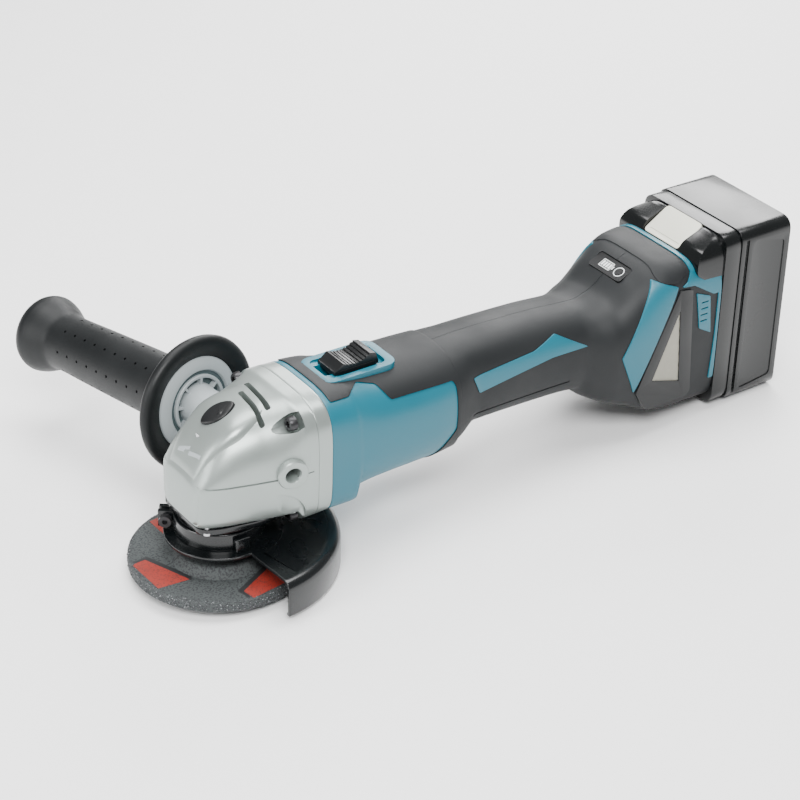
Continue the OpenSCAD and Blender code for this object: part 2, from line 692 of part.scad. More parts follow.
// One half of the handle; side is -1 for the near half
module handle_half(side) {
  stations = refine(handle_stations, 3);
  a0 = side > 0 ? -90 : 90;
  difference() {
    union() {
      wall_sweep(stations, 0, grip_wall, a0, a0 + 180, 18);
      intersection() {
        wall_sweep_fill(stations, side);
        union() {
          for (p = handle_screw_at) translate([p[0], 0, p[1]]) rotate([-side * 90, 0, 0])
            cylinder(r = 3.8, h = 40);
          // bulkhead in front of the terminal block
          translate([rear_wall_x, side > 0 ? 0 : -40, -60]) cube([3, 40, 120]);
        }
      }
    }
    for (p = handle_screw_at) translate([p[0], 0, p[1]]) rotate([-side * 90, 0, 0]) {
      if (side > 0) {
        translate([0, 0, -1]) cylinder(r = 1.7, h = 60);
        translate([0, 0, 12]) cylinder(r = 3.3, h = 60);
      } else translate([0, 0, -1]) cylinder(r = 1.4, h = 11.5);
    }
    // the battery's overhang and the sloping upper edge of each side
    translate([head_cut_x, -50, -1]) rotate([90, 0, 0]) translate([0, 0, -100]) linear_extrude(100)
      polygon([[0, shelf_z + 0.5], [13, 34], [30, 34], [30, 80], [0, 80]]);
    // the tongue's way in from above
    translate([head_cut_x, -tongue_hw - rail_w - 4, flare_zb + grip_wall + 0.5]) cube([40, 2 * (tongue_hw + rail_w + 4), 120]);
    // pocket of the indicator panel and its button
    panel_place() {
      linear_extrude(20) stadium(panel_l + 2 * slide_gap, panel_w + 2 * slide_gap, 2);
      translate([0, panel_button_y, -1]) cylinder(r = panel_button_r + slide_gap, h = 3);
    }
    // gap around the blades and leads
    translate([rear_wall_x - 1, -14, -16]) cube([6, 28, 34]);
    translate([motor_end - 1, -5, link_z - 10]) cube([40, 10, 12]);
  }
}
module wall_sweep_fill(stations, side) {
  intersection() {
    solid_sweep(stations, grip_wall / 2, 36);
    translate([0, side > 0 ? 0 : -100, -100]) cube([500, 100, 200]);
  }
}
module handle_left() { color(rubber) lift() handle_half(-1); }
module handle_right() { color(rubber) lift() handle_half(1); }
module handle_screws() {
  color(black) lift() for (p = handle_screw_at) translate([p[0], 14.4, p[1]]) rotate([90, 0, 0])
    screw(3, 2.4, 1.4, 20);
}
// A thin skin on the outside of one handle half, cut to an outline drawn in X and Z
module on_handle(side, proud, first, last) {
  a0 = side > 0 ? -70 : 110;
  stations = refine([for (k = [first:last]) handle_stations[k]], 3);
  intersection() {
    wall_sweep(stations, -proud, 0, a0, a0 + 140, 14);
    translate([0, side > 0 ? 50 : 0, 0]) rotate([90, 0, 0]) linear_extrude(50) children();
  }
}
module accent_stripes() {
  color(teal) lift() for (side = [-1, 1]) on_handle(side, 0.5, 1, 5)
    polygon([[motor_end + 12, 17], [motor_end + 54, 21.5], [motor_end + 70, 27],
      [flare_x - 11, 15], [flare_x - 34, 15.5], [motor_end + 16, 9.5]]);
}
slant_panel = [[flare_x + 10, 4], [flare_x + 33, 45.5], [flare_x + 47, 40.3], [flare_x + 19.5, -20]];
rim_outline = [[head_cut_x - 1, 43], [joint_x - 7, 33.4], [joint_x - 0.6, 33.4], [joint_x - 0.6, -27],
  [joint_x - 3.2, -27], [joint_x - 3.2, 30.6], [joint_x - 8, 30.6], [head_cut_x - 1, 39.6]];
vent_outline = [[head_cut_x, 33], [head_cut_x + 10.5, 29.5], [head_cut_x + 13, 5], [head_cut_x + 4, 8.5]];
module side_trims() {
  color(teal) lift() for (side = [-1, 1]) {
    on_handle(side, trim_t, 5, 10) polygon(slant_panel);
    on_handle(side, trim_t, 10, 11) polygon(rim_outline);
    on_handle(side, trim_t, 9, 11) polygon(vent_outline);
  }
}
frame_outline = [[flare_x + 21, -21], [flare_x + 49, 38], [flare_x + 57, 37], [flare_x + 62, -33],
  [flare_x + 29, -33]];
mesh_outline = [[flare_x + 32, -16], [flare_x + 49, 25], [flare_x + 52.5, -22]];
module dust_cover_frames() {
  color(black) lift() for (side = [-1, 1]) on_handle(side, trim_t, 6, 11) difference() {
    polygon(frame_outline);
    polygon(mesh_outline);
  }
}
module dust_cover_meshes() {
  color(steel) lift() for (side = [-1, 1]) on_handle(side, trim_t / 3, 6, 11) polygon(mesh_outline);
}
module controller() {
  color(steel) lift() difference() {
    translate([flare_x + 8, -21, -18]) cube([26, 42, 44]);
    for (i = [0:5]) translate([flare_x + 7, -18 + i * 6.6, 22]) cube([28, 3, 5]);
  }
}
module motor_wires() {
  color("dimgray") lift() {
    for (z = [-4, 0, 4]) translate([board_x + 1.6, 15, z]) rotate([0, 90, 0])
      cylinder(r = 1.5, h = flare_x + 8 - board_x - 1.6, $fn = 24);
    for (y = [-9, 9]) translate([flare_x + 34, y, 0]) rotate([0, 90, 0])
      cylinder(r = 1.6, h = head_cut_x + 1 - flare_x - 34, $fn = 24);
  }
}
block_t = 4;
module terminal_block() {
  color(black) lift() {
    translate([head_cut_x + 1, -16, -22]) cube([block_t, 32, 46]);
    for (side = [-1, 1]) {
      translate([head_cut_x, side > 0 ? tongue_hw + slide_gap : -tongue_hw - slide_gap - 3.4, flare_zb + grip_wall + 1])
        cube([joint_x - head_cut_x - 2, 3.4, shelf_z - flare_zb - 14]);
      translate([head_cut_x + 8, side > 0 ? tongue_hw - rail_w + slide_gap : -tongue_hw - slide_gap, flare_zb + grip_wall + 1])
        cube([3, rail_w + 0.1, shelf_z - flare_zb - 14]);
    }
    translate([head_cut_x, -tongue_hw - 3.4 - slide_gap, flare_zb + grip_wall + 1]) cube([3, 2 * (tongue_hw + 3.4 + slide_gap), 8]);
    translate([head_cut_x, -6, flare_zb + grip_wall + 1]) cube([3, 12, 24]);
  }
}
module terminal_blades() {
  color(brass) lift() for (y = [-9, 9]) translate([head_cut_x + 1 + block_t, y - 0.4, -8])
    cube([7, 0.8, 14]);
}
panel_l = 11;
panel_w = 28;
panel_t = 1.2;
panel_tilt = 26;
panel_button_y = -8;
panel_button_r = 2.6;
module panel_place() {
  translate([flare_x + 25.4, 0, flare_zt - 8]) rotate([0, -panel_tilt, 0]) children();
}
module indicator_panel() {
  color(black) lift() panel_place() difference() {
    linear_extrude(panel_t) stadium(panel_l, panel_w, 2);
    translate([0, panel_button_y, -1]) cylinder(r = panel_button_r + slide_gap / 2, h = panel_t + 2);
  }
}
module check_button() {
  color(rubber) lift() panel_place()
    translate([0, panel_button_y, 0.7]) cylinder(r = panel_button_r, h = 1);
}

// ---- Battery ----
module box_round_x(x0, x1, hw, z0, z1, r) {
  translate([x0, 0, (z0 + z1) / 2]) rotate([90, 0, 90]) linear_extrude(x1 - x0)
    stadium(2 * hw, z1 - z0, r);
}
bat_hw = battery_w / 2;
module battery_front_case() {
  color(black) lift() difference() {
    union() {
      box_round_x(joint_x, case_split, bat_hw, battery_low, battery_top, 7);
      // overhang above the handle
      intersection() {
        box_round_x(head_cut_x, joint_x + 1, bat_hw - 1.2, shelf_z - 25, battery_top, 8);
        translate([0, 100, 0]) rotate([90, 0, 0]) linear_extrude(200)
          polygon([[head_cut_x, shelf_z + 1], [head_cut_x, shelf_z + 8], [head_cut_x + 5, shelf_z + 13],
            [head_cut_x + 19, battery_top - 2], [joint_x + 2, battery_top], [joint_x + 2, 35],
            [head_cut_x + 13, 35]]);
      }
      // tongue that slides between the rails
      translate([tongue_x, -tongue_hw, flare_zb + grip_wall + 10]) cube([joint_x - tongue_x + 1, 2 * tongue_hw, shelf_z - flare_zb - 2]);
    }
    // inside
    box_round_x(joint_x + case_wall, case_split + 1, bat_hw - case_wall, battery_low + case_wall, battery_top - case_wall, 5);
    // grooves for the rails, open at the lower end
    for (side = [-1, 1]) translate([head_cut_x + 8 - slide_gap, side > 0 ? tongue_hw - rail_w : -tongue_hw - 1, -80])
      cube([3 + 2 * slide_gap, rail_w + 1, 80 + shelf_z - 9]);
    // slots for the blades
    for (y = [-9, 9]) translate([tongue_x - 1, y - 0.9, -80]) cube([8.5, 1.8, 80 + 8]);
    // release button's well
    button_place() translate([0, 0, -6]) linear_extrude(30) stadium(19 + slide_gap, 28 + slide_gap, 2);
    translate([head_cut_x + 2, -9, shelf_z - 17]) cube([14, 18, 27]);
  }
}
button_tilt = 32;
module button_place() {
  translate([head_cut_x + 11, 0, battery_top - 7.2]) rotate([0, -button_tilt, 0]) children();
}
module release_button() {
  color(cream) lift() button_place() translate([0, 0, -2.4]) linear_extrude(3.8) stadium(19, 28, 2);
}
module release_spring() {
  color(steel) lift() button_place() translate([0, 0, -6]) coil(3, 0.7, 3, 3.6);
}
module latch() {
  color(black) lift() translate([head_cut_x + 2.6, -8, shelf_z - 12]) difference() {
    cube([10.6, 16, 17]);
    translate([3, -1, 5]) cube([9, 18, 14]);
  }
}
module battery_rear_case() {
  color(black) lift() difference() {
    box_round_x(case_split, battery_end, bat_hw, battery_low, battery_top, 7);
    box_round_x(case_split - 1, battery_end - case_wall, bat_hw - case_wall, battery_low + case_wall, battery_top - case_wall, 5);
  }
}
module battery_screws() {
  color(steel) lift() for (y = [-1, 1], z = [battery_low + 6.4, battery_top - 6.4])
    translate([joint_x + case_wall, y * (bat_hw - 6.6), z]) rotate([0, 90, 0]) cylinder(r = 1.3, h = battery_depth - 2 * case_wall);
}
cells_x = joint_x + 7 + cell_d / 2;
cell_pitch = cell_d + 0.6;
module each_cell() {
  for (i = [0:1], k = [-2:2]) translate([cells_x + i * cell_pitch, 0, battery_mid + k * cell_pitch])
    rotate([90, 0, 0]) children();
}
module battery_cells() {
  color("seagreen") lift() each_cell() translate([0, 0, -32.5]) cylinder(r = cell_d / 2, h = 65);
}
module cell_holder() {
  color(rubber) lift() difference() {
    translate([cells_x - cell_d / 2 - 1, -30, battery_mid - 2.5 * cell_pitch - 0.6])
      cube([2 * cell_pitch + 2, 60, 5 * cell_pitch + 1.2]);
    each_cell() translate([0, 0, -40]) cylinder(r = cell_d / 2, h = 80);
    translate([cells_x - 20, -22, battery_low]) cube([60, 44, 2 * battery_h]);
  }
}
module battery_board() {
  color("darkgreen") lift() translate([joint_x + case_wall + 0.6, -22, battery_mid - 40]) cube([1.6, 44, 80]);
}

// ---- Wheel, nut and guard ----
module inner_flange() {
  color(steel) lift() difference() {
    rotate_extrude() polygon([[spindle_r + 0.05, hub_high - 3], [wheel_bore_d / 2 - 0.05, hub_high - 3],
      [wheel_bore_d / 2 - 0.05, hub_high], [flange_r, hub_high], [flange_r, hub_high + 3.4],
      [flange_r - 6, shoulder_z], [spindle_r + 0.05, shoulder_z]]);
  }
}
module grinding_wheel() {
  low = -wheel_drop;
  color([0.25, 0.25, 0.26]) lift() rotate_extrude($fn = 96) polygon([[wheel_bore_d / 2, hub_low], [hub_r, hub_low],
    [hub_r + 4.5, low], [wheel_r, low], [wheel_r, low + wheel_t], [hub_r + 3.5, low + wheel_t],
    [hub_r - 1, hub_high], [wheel_bore_d / 2, hub_high]]);
}
module lock_nut() {
  color(steel) lift() difference() {
    union() {
      translate([0, 0, hub_low - nut_t]) cylinder(r = 14, h = nut_t);
      translate([0, 0, hub_low - eps]) cylinder(r = wheel_bore_d / 2 - 0.05, h = 2.4);
    }
    translate([0, 0, hub_low - nut_t - 1]) cylinder(r = spindle_r + 0.03, h = 12);
    for (a = [0:90:270]) rotate(a) translate([10.6, 0, hub_low - nut_t - 1]) cylinder(r = 1.9, h = 3.4);
  }
}
module wheel_guard() {
  round_r = 4;
  color(black) lift() {
    rotate(-87) rotate_extrude(angle = 174, $fn = 96) {
      difference() {
        union() {
          translate([collar_r + collar_wall - 0.5, guard_top - guard_wall]) square([guard_r - round_r - collar_r - collar_wall + 0.5, guard_wall]);
          translate([guard_r - guard_wall, guard_low]) square([guard_wall, guard_h - round_r]);
          intersection() {
            translate([guard_r - round_r, guard_top - round_r]) difference() {
              circle(r = round_r);
              circle(r = round_r - guard_wall);
            }
            translate([guard_r - round_r, guard_top - round_r]) square(round_r);
          }
        }
      }
    }
    translate([0, 0, guard_top - guard_wall]) ring(30, collar_r, guard_wall);
    translate([0, 0, guard_top - eps]) ring(collar_r + collar_wall, collar_r, collar_top - guard_top);
    rotate(-92) translate([collar_r + collar_wall - 0.4, -5, guard_top - eps]) cube([5.5, 10, 3.4]);
  }
}
band_low = guard_top + 1;
band_h = collar_top - band_low - 0.6;
band_r = collar_r + collar_wall + 0.05;
module guard_clamp_band() {
  color(black) lift() difference() {
    union() {
      translate([0, 0, band_low]) ring(band_r + band_wall, band_r, band_h);
      rotate(band_angle) translate([band_r + 0.6, -3.7, band_low + 0.2]) cube([9, 7.4, band_h - 0.4]);
    }
    rotate(band_angle) translate([band_r - 1, -1.2, band_low - 1]) cube([12, 2.4, band_h + 2]);
    rotate(band_angle) translate([band_r + 5.4, 10, band_low + band_h / 2]) rotate([90, 0, 0])
      cylinder(r = 2, h = 20);
    rotate(-92) translate([band_r - 2, -5.3, band_low - 1]) cube([8, 10.6, 3.8]);
  }
}
module guard_clamp_screw() {
  color(steel) lift() rotate(band_angle) translate([band_r + 5.4, 7.2, band_low + band_h / 2])
    rotate([90, 0, 0]) screw(3.4, 3.5, 2, 9);
}

// ---- Side handle ----
module side_handle_stud() {
  color(steel) lift() on_side_axis(1) translate([0, 0, -13]) cylinder(r = handle_thread_d / 2, h = 50);
}
core_r = 27;
core_z = 21;
module side_handle_core() {
  color([0.5, 0.52, 0.53]) lift() on_side_axis(1) difference() {
    rotate_extrude() polygon([[handle_thread_d / 2, 0.6], [9.5, 0.6], [12.5, 13], [13.5, core_z - 2],
      [core_r - 8, core_z - 1], [core_r - 7, core_z - 2.2], [core_r - 4, core_z - 2.2], [core_r, core_z],
      [core_r, core_z + 3], [13, core_z + 3], [11, core_z + 40], [handle_thread_d / 2, core_z + 40]]);
    for (a = [0:45:315]) rotate(a) translate([16.4, 0, core_z - 4]) cylinder(r = 2.3, h = 6);
  }
}
module side_handle_grip() {
  grip_r = handle_grip_d / 2;
  stop_r = handle_stop_d / 2;
  end = handle_len;
  color(black) lift() on_side_axis(1) difference() {
    rotate_extrude() polygon([[0, core_z + 3.02], [core_r + 0.05, core_z + 3.02], [core_r + 0.05, core_z - 0.5],
      [stop_r - 4, core_z - 3], [stop_r - 1, core_z - 2], [stop_r, core_z + 0.5], [stop_r - 1, core_z + 3],
      [grip_r + 9, core_z + 8], [grip_r + 2.5, core_z + 13], [grip_r + 0.4, core_z + 24], [grip_r, core_z + 60],
      [grip_r - 1, end - 34], [grip_r - 0.6, end - 26], [grip_r + 2.4, end - 17], [grip_r + 5, end - 11],
      [grip_r + 5.6, end - 7.5], [grip_r + 4.2, end - 3], [grip_r, end - 0.6], [0, end]]);
    translate([0, 0, core_z]) cylinder(r = 13.02, h = 3.1);
    translate([0, 0, core_z + 3]) cylinder(r1 = 13.05, r2 = 11.05, h = 37.05);
  }
}

// ---- Drawing ----
gear_housing();
gear_housing_cover();
gear_housing_screws();
bearing_box();
bearing_box_screws();
shaft_lock_button();
shaft_lock_pin();
shaft_lock_spring();
spindle();
ring_gear();
spindle_bearing();
spindle_top_bearing();
pinion();
rotor_shaft();
rotor_core();
fan();
motor_front_bearing();
motor_rear_bearing();
stator();
stator_coils();
sensor_board();
baffle_plate();
inner_flange();
grinding_wheel();
lock_nut();
wheel_guard();
guard_clamp_band();
guard_clamp_screw();
side_handle_stud();
side_handle_core();
side_handle_grip();
motor_housing();
switch_bezel();
switch_knob();
switch_link();
switch_spring();
switch_unit();
handle_left();
handle_right();
handle_screws();
accent_stripes();
side_trims();
dust_cover_frames();
dust_cover_meshes();
controller();
motor_wires();
terminal_block();
terminal_blades();
indicator_panel();
check_button();
battery_front_case();
battery_rear_case();
battery_screws();
battery_cells();
cell_holder();
battery_board();
release_button();
release_spring();
latch();
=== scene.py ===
import json
import math

import bmesh
import bpy
import numpy as np
from mathutils import Matrix, Vector


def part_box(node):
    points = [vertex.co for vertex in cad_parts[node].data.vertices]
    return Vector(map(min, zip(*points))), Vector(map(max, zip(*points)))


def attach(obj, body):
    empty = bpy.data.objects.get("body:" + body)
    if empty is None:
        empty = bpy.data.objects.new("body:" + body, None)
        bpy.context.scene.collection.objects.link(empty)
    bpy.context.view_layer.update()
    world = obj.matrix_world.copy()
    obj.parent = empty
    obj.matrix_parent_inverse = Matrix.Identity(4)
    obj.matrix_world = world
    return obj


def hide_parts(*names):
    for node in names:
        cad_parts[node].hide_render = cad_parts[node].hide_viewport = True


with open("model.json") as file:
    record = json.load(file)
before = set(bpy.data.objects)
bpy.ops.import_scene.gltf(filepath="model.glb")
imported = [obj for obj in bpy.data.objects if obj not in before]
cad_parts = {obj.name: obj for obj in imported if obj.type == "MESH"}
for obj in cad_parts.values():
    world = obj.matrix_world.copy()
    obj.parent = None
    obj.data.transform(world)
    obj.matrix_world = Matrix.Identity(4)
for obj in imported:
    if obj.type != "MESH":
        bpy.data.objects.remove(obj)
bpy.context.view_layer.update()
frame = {"nodes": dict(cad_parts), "record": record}

MM = 0.001
SHARP = math.radians(35)

# ---- Where things are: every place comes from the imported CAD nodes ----


def low(node):
    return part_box(node)[0]


def high(node):
    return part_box(node)[1]


def middle(node):
    return (low(node) + high(node)) / 2


AXIS_Z = middle("rotor_core").z               # height of the motor axis
FLANGE_X = low("gear_housing_cover").x        # seam between head casting and rear ring
MOTOR_X = low("motor_housing").x              # front of the motor housing
MOTOR_END = high("motor_housing").x           # joint of motor housing and handle
JOINT_X = high("handle_left").x               # rear end of the handle
HEAD_HW = high("gear_housing_cover").y        # half width of the head's flange
SPLIT_X = low("battery_rear_case").x          # seam of the two battery cases
OVERHANG_X = low("battery_front_case").x      # front of the battery's overhang
GRIP_LEN = 100                                # length of the grip before the flare
FLARE_X = MOTOR_END + GRIP_LEN * MM                # where the grip starts to flare

# Pieces are drawn in millimetres about the motor axis, and RAISE puts a finished one in its place
RAISE = Matrix.Translation((0, 0, AXIS_Z)) @ Matrix.Diagonal((MM, MM, MM, 1))

# ---- Mesh helpers ----


def link(obj):
    bpy.context.scene.collection.objects.link(obj)
    return obj


def make_object(name, verts, faces, recalc=True):
    """A new mesh object in the row frame, its doubles merged and its faces turned outwards."""
    mesh = bpy.data.meshes.new(name)
    mesh.from_pydata([tuple(v) for v in verts], [], [tuple(f) for f in faces])
    work = bmesh.new()
    work.from_mesh(mesh)
    bmesh.ops.remove_doubles(work, verts=work.verts, dist=1e-4)
    bmesh.ops.dissolve_degenerate(work, edges=work.edges, dist=1e-5)
    if recalc:
        bmesh.ops.recalc_face_normals(work, faces=work.faces)
    work.to_mesh(mesh)
    work.free()
    return link(bpy.data.objects.new(name, mesh))


def settle(obj):
    """Applies the object's modifiers to its mesh."""
    graph = bpy.context.evaluated_depsgraph_get()
    mesh = bpy.data.meshes.new_from_object(obj.evaluated_get(graph))
    old = obj.data
    obj.modifiers.clear()
    obj.data = mesh
    bpy.data.meshes.remove(old)
    return obj


def drop(obj):
    bpy.data.objects.remove(obj)


def combine(obj, tools, operation="DIFFERENCE"):
    """Cuts, joins or keeps the common part of obj and each tool, and removes the tools."""
    for tool in tools:
        boolean = obj.modifiers.new("shape", "BOOLEAN")
        boolean.operation = operation
        boolean.solver = "EXACT"
        boolean.object = tool
        settle(obj)
        drop(tool)
    return obj


def round_edges(obj, width, segments=2, angle=35):
    bevel = obj.modifiers.new("edges", "BEVEL")
    bevel.width = width
    bevel.segments = segments
    bevel.limit_method = "ANGLE"
    bevel.angle_limit = math.radians(angle)
    bevel.use_clamp_overlap = True
    return settle(obj)


def shade(obj, angle=SHARP):
    obj.data.shade_smooth()
    obj.data.set_sharp_from_angle(angle=angle)
    return obj


def dress(obj, material, body, replaces=(), angle=SHARP):
    """Gives a finished piece its place, shading, material and body, and hides the CAD nodes it replaces."""
    obj.data.transform(RAISE)
    shade(obj, angle)
    obj.data.materials.clear()
    obj.data.materials.append(material)
    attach(obj, body)
    if replaces:
        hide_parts(*replaces)
    return obj


def move(obj, matrix):
    obj.data.transform(matrix)
    return obj


def block(x0, x1, y0, y1, z0, z1, name="block"):
    verts = [(x, y, z) for x in (x0, x1) for y in (y0, y1) for z in (z0, z1)]
    faces = [(0, 1, 3, 2), (4, 6, 7, 5), (0, 4, 5, 1), (2, 3, 7, 6), (0, 2, 6, 4), (1, 5, 7, 3)]
    return make_object(name, verts, faces)


def prism(outline, depth, matrix=Matrix.Identity(4), name="prism"):
    """An outline drawn in the plane z = 0, raised by depth along Z, then placed by matrix."""
    n = len(outline)
    verts = [(x, y, 0) for x, y in outline] + [(x, y, depth) for x, y in outline]
    faces = [tuple(range(n))[::-1], tuple(range(n, 2 * n))]
    faces += [(i, (i + 1) % n, n + (i + 1) % n, n + i) for i in range(n)]
    return move(make_object(name, verts, faces), matrix)


def lathe(profile, segments=96, name="lathe", matrix=Matrix.Identity(4)):
    """Turns a closed outline of (radius, height) about Z."""
    n = len(profile)
    verts = []
    for i in range(segments):
        a = 2 * math.pi * i / segments
        verts += [(r * math.cos(a), r * math.sin(a), h) for r, h in profile]
    faces = []
    for i in range(segments):
        j = (i + 1) % segments
        for k in range(n):
            m = (k + 1) % n
            faces.append((i * n + k, j * n + k, j * n + m, i * n + m))
    return move(make_object(name, verts, faces), matrix)


def cylinder(radius, height, matrix=Matrix.Identity(4), segments=48, name="cylinder"):
    ring = [(radius * math.cos(2 * math.pi * i / segments), radius * math.sin(2 * math.pi * i / segments))
            for i in range(segments)]
    return prism(ring, height, matrix, name)


def rounded(points, radius, steps=5):
    """A closed outline whose corners are rounded to the radius."""
    out = []
    n = len(points)
    for i in range(n):
        before, here, after = (Vector(points[k % n]) for k in (i - 1, i, i + 1))
        u, v = (before - here), (after - here)
        reach = min(radius, u.length * 0.45, v.length * 0.45)
        a, b = here + u.normalized() * reach, here + v.normalized() * reach
        for k in range(steps + 1):
            t = k / steps
            out.append(tuple((1 - t) ** 2 * a + 2 * t * (1 - t) * here + t * t * b))
    return out


def pill(length, width, radius):
    return rounded([(-length / 2, -width / 2), (length / 2, -width / 2),
                    (length / 2, width / 2), (-length / 2, width / 2)], radius, 6)


def place(x, y, z, turn=(0, 0, 0)):
    """A placing matrix: turned about X, then Y, then Z by degrees, then moved."""
    spin = Matrix.Identity(4)
    for axis, angle in zip("XYZ", turn):
        spin = Matrix.Rotation(math.radians(angle), 4, axis) @ spin
    return Matrix.Translation((x, y, z)) @ spin


def from_side(y, side):
    """Draws X and Z outlines; the prism runs outwards from y on the given side."""
    return Matrix.Translation((0, y, 0)) @ Matrix(
        ((1, 0, 0, 0), (0, 0, side, 0), (0, 1, 0, 0), (0, 0, 0, 1)))


# ---- Swept housings ----
# A station is x, half width, top, bottom, parting height (from the motor axis) and the
# squareness of the upper and lower corners, all lengths in millimetres.


def monotone(xs, ys, at):
    """Smooth interpolation through points that never overshoots them."""
    xs, ys = np.asarray(xs, float), np.asarray(ys, float)
    h = np.diff(xs)
    d = np.diff(ys) / h
    m = np.zeros(len(xs))
    m[0], m[-1] = d[0], d[-1]
    for i in range(1, len(xs) - 1):
        if d[i - 1] * d[i] > 0:
            w1, w2 = 2 * h[i] + h[i - 1], h[i] + 2 * h[i - 1]
            m[i] = (w1 + w2) / (w1 / d[i - 1] + w2 / d[i])
    k = np.clip(np.searchsorted(xs, at, side="right") - 1, 0, len(h) - 1)
    t = (at - xs[k]) / h[k]
    return ((2 * t**3 - 3 * t**2 + 1) * ys[k] + (t**3 - 2 * t**2 + t) * h[k] * m[k]
            + (3 * t**2 - 2 * t**3) * ys[k + 1] + (t**3 - t**2) * h[k] * m[k + 1])


def fill_stations(stations, step=1.6):
    """Adds stations between the given ones, about a step apart."""
    table = np.array(stations, float)
    xs = [table[0, 0]]
    for a, b in zip(table[:-1, 0], table[1:, 0]):
        count = max(1, int(math.ceil((b - a) / step)))
        xs += [a + (b - a) * (i + 1) / count for i in range(count)]
    xs = np.array(xs)
    return np.stack([xs] + [monotone(table[:, 0], table[:, c], xs) for c in range(1, 7)], 1)


def quarter(half_width, height, squareness, count):
    """Points of one quarter of a squared ellipse, evenly spaced along it, from the side up."""
    t = np.linspace(0, math.pi / 2, 241)
    x = half_width * np.cos(t).clip(0) ** (2 / squareness)
    y = height * np.sin(t).clip(0) ** (2 / squareness)
    reach = np.concatenate([[0], np.cumsum(np.hypot(np.diff(x), np.diff(y)))])
    at = np.linspace(0, reach[-1], count + 1)
    return np.stack([np.interp(at, reach, x), np.interp(at, reach, y)], 1)


def outline(station, inset, count):
    """The closed outline at a station, from the bottom round by +Y; four quarters of count points."""
    x, hw, top, bottom, parting, up, down = station
    upper = quarter(hw - inset, top - inset - parting, up, count)
    lower = quarter(hw - inset, parting - bottom - inset, down, count)
    right = [(y, parting - z) for y, z in lower[::-1]] + [(y, parting + z) for y, z in upper[1:]]
    left = [(-y, z) for y, z in right[-2:0:-1]]
    return [(x, y, z) for y, z in right + left]


def sweep(stations, inset=0.0, count=20, name="sweep", front=0.0, back=0.0):
    """A closed solid through the stations; front and back move its two ends outwards."""
    rings = [outline(s, inset, count) for s in stations]
    rings[0] = [(x - front, y, z) for x, y, z in rings[0]]
    rings[-1] = [(x + back, y, z) for x, y, z in rings[-1]]
    n = len(rings[0])
    verts = [p for ring in rings for p in ring]
    faces = [(k * n + i, k * n + (i + 1) % n, (k + 1) * n + (i + 1) % n, (k + 1) * n + i)
             for k in range(len(rings) - 1) for i in range(n)]
    faces += [tuple(range(n))[::-1], tuple(range((len(rings) - 1) * n, len(rings) * n))]
    return make_object(name, verts, faces)


def shell(stations, outer, inner, count=20, name="shell"):
    """An open-ended tube wall between two insets of the stations."""
    n = 4 * count
    verts, rows = [], []
    for s in stations:
        for inset in (outer, inner):
            rows.append(len(verts))
            verts += outline(s, inset, count)
    faces = []
    for k in range(len(stations) - 1):
        for side in (0, 1):
            a, b = rows[2 * k + side], rows[2 * k + 2 + side]
            faces += [(a + i, a + (i + 1) % n, b + (i + 1) % n, b + i) for i in range(n)]
    for k in (0, len(stations) - 1):
        a, b = rows[2 * k], rows[2 * k + 1]
        faces += [(a + i, a + (i + 1) % n, b + (i + 1) % n, b + i) for i in range(n)]
    return make_object(name, verts, faces)


def between(stations, x0, x1):
    """The filled stations that lie from x0 to x1, with the two ends put exactly there."""
    xs = np.concatenate([[x0], stations[(stations[:, 0] > x0 + 0.05) & (stations[:, 0] < x1 - 0.05), 0], [x1]])
    return np.stack([xs] + [np.interp(xs, stations[:, 0], stations[:, c]) for c in range(1, 7)], 1)


F, M0, M1, FL, J = (v / MM for v in (FLANGE_X, MOTOR_X, MOTOR_END, FLARE_X, JOINT_X))
HW = HEAD_HW / MM
BASE = -25.0
NOSE = low("gear_housing").x / MM
HEAD = fill_stations([
    (NOSE, 16, 0.5, BASE + 2, -6, 2.8, 7), (NOSE + 2.6, 19.8, 5, BASE, -3, 2.6, 7),
    (-14, 24, 17.5, BASE, -1, 2.3, 8), (-2, 27.8, 28, BASE, 0, 2.3, 8),
    (12, 31.5, 33.5, BASE, 1, 2.3, 8), (23, 34, 35.8, BASE, 1, 2.6, 8),
    (29, 34.8, 36.4, BASE - 1, 1, 3.2, 8), (33, HW, 37, -34, 1, 3.8, 5),
    (F, HW, 37, -34, 1, 3.8, 5)], 1.2)
MOTOR = fill_stations([
    (M0, HW - 0.3, 36.7, -33.7, 1, 3.8, 5), (M0 + 17, 35, 35.8, -32.8, 1, 3.3, 5.6),
    (M0 + 19.5, 34.6, 35.5, -31, 1, 3.1, 2.9), (M0 + 36, 33.6, 34.6, -30.4, 1.5, 2.6, 2.6),
    (M1 - 16, 33, 34, -30, 2, 2.5, 2.5), (M1, 31.4, 33.8, -29, 3, 2.5, 2.5)])
HANDLE = fill_stations([
    (M1, 31.4, 33.8, -29, 3, 2.5, 2.5), (M1 + 5, 30.2, 33.9, -26, 4, 2.5, 2.5),
    (M1 + 17, 26.6, 34.2, -18.2, 6, 2.6, 2.6), (M1 + 66, 26, 33, -19, 6, 2.7, 2.6),
    (FL - 10, 26.2, 31, -20.6, 5, 2.7, 2.7), (FL - 3, 29, 30.6, -26, 4, 2.6, 3.2),
    (FL + 9, 34, 33.4, -31.4, 3, 2.6, 4), (FL + 24, 35.6, 44, -37, 3, 3.1, 5),
    (FL + 34, 36, 49.4, -41, 3, 4, 6), (FL + 42, 36, 51.4, -43.6, 3, 5, 6),
    (FL + 54, 36, 51.4, -45, 3, 6, 6), (J, 36, 50, -45, 3, 6, 6)])


def skin(stations, proud, cutters, name, inner=0.6, count=24):
    """A thin skin on a swept housing, kept where it meets a cutter."""
    kept = sweep(stations, -proud, count, name)
    cutter = cutters[0]
    for other in cutters[1:]:
        combine(cutter, [other], "UNION")
    combine(kept, [cutter], "INTERSECT")
    return combine(kept, [sweep(stations, inner, count, "core", front=5, back=5)])


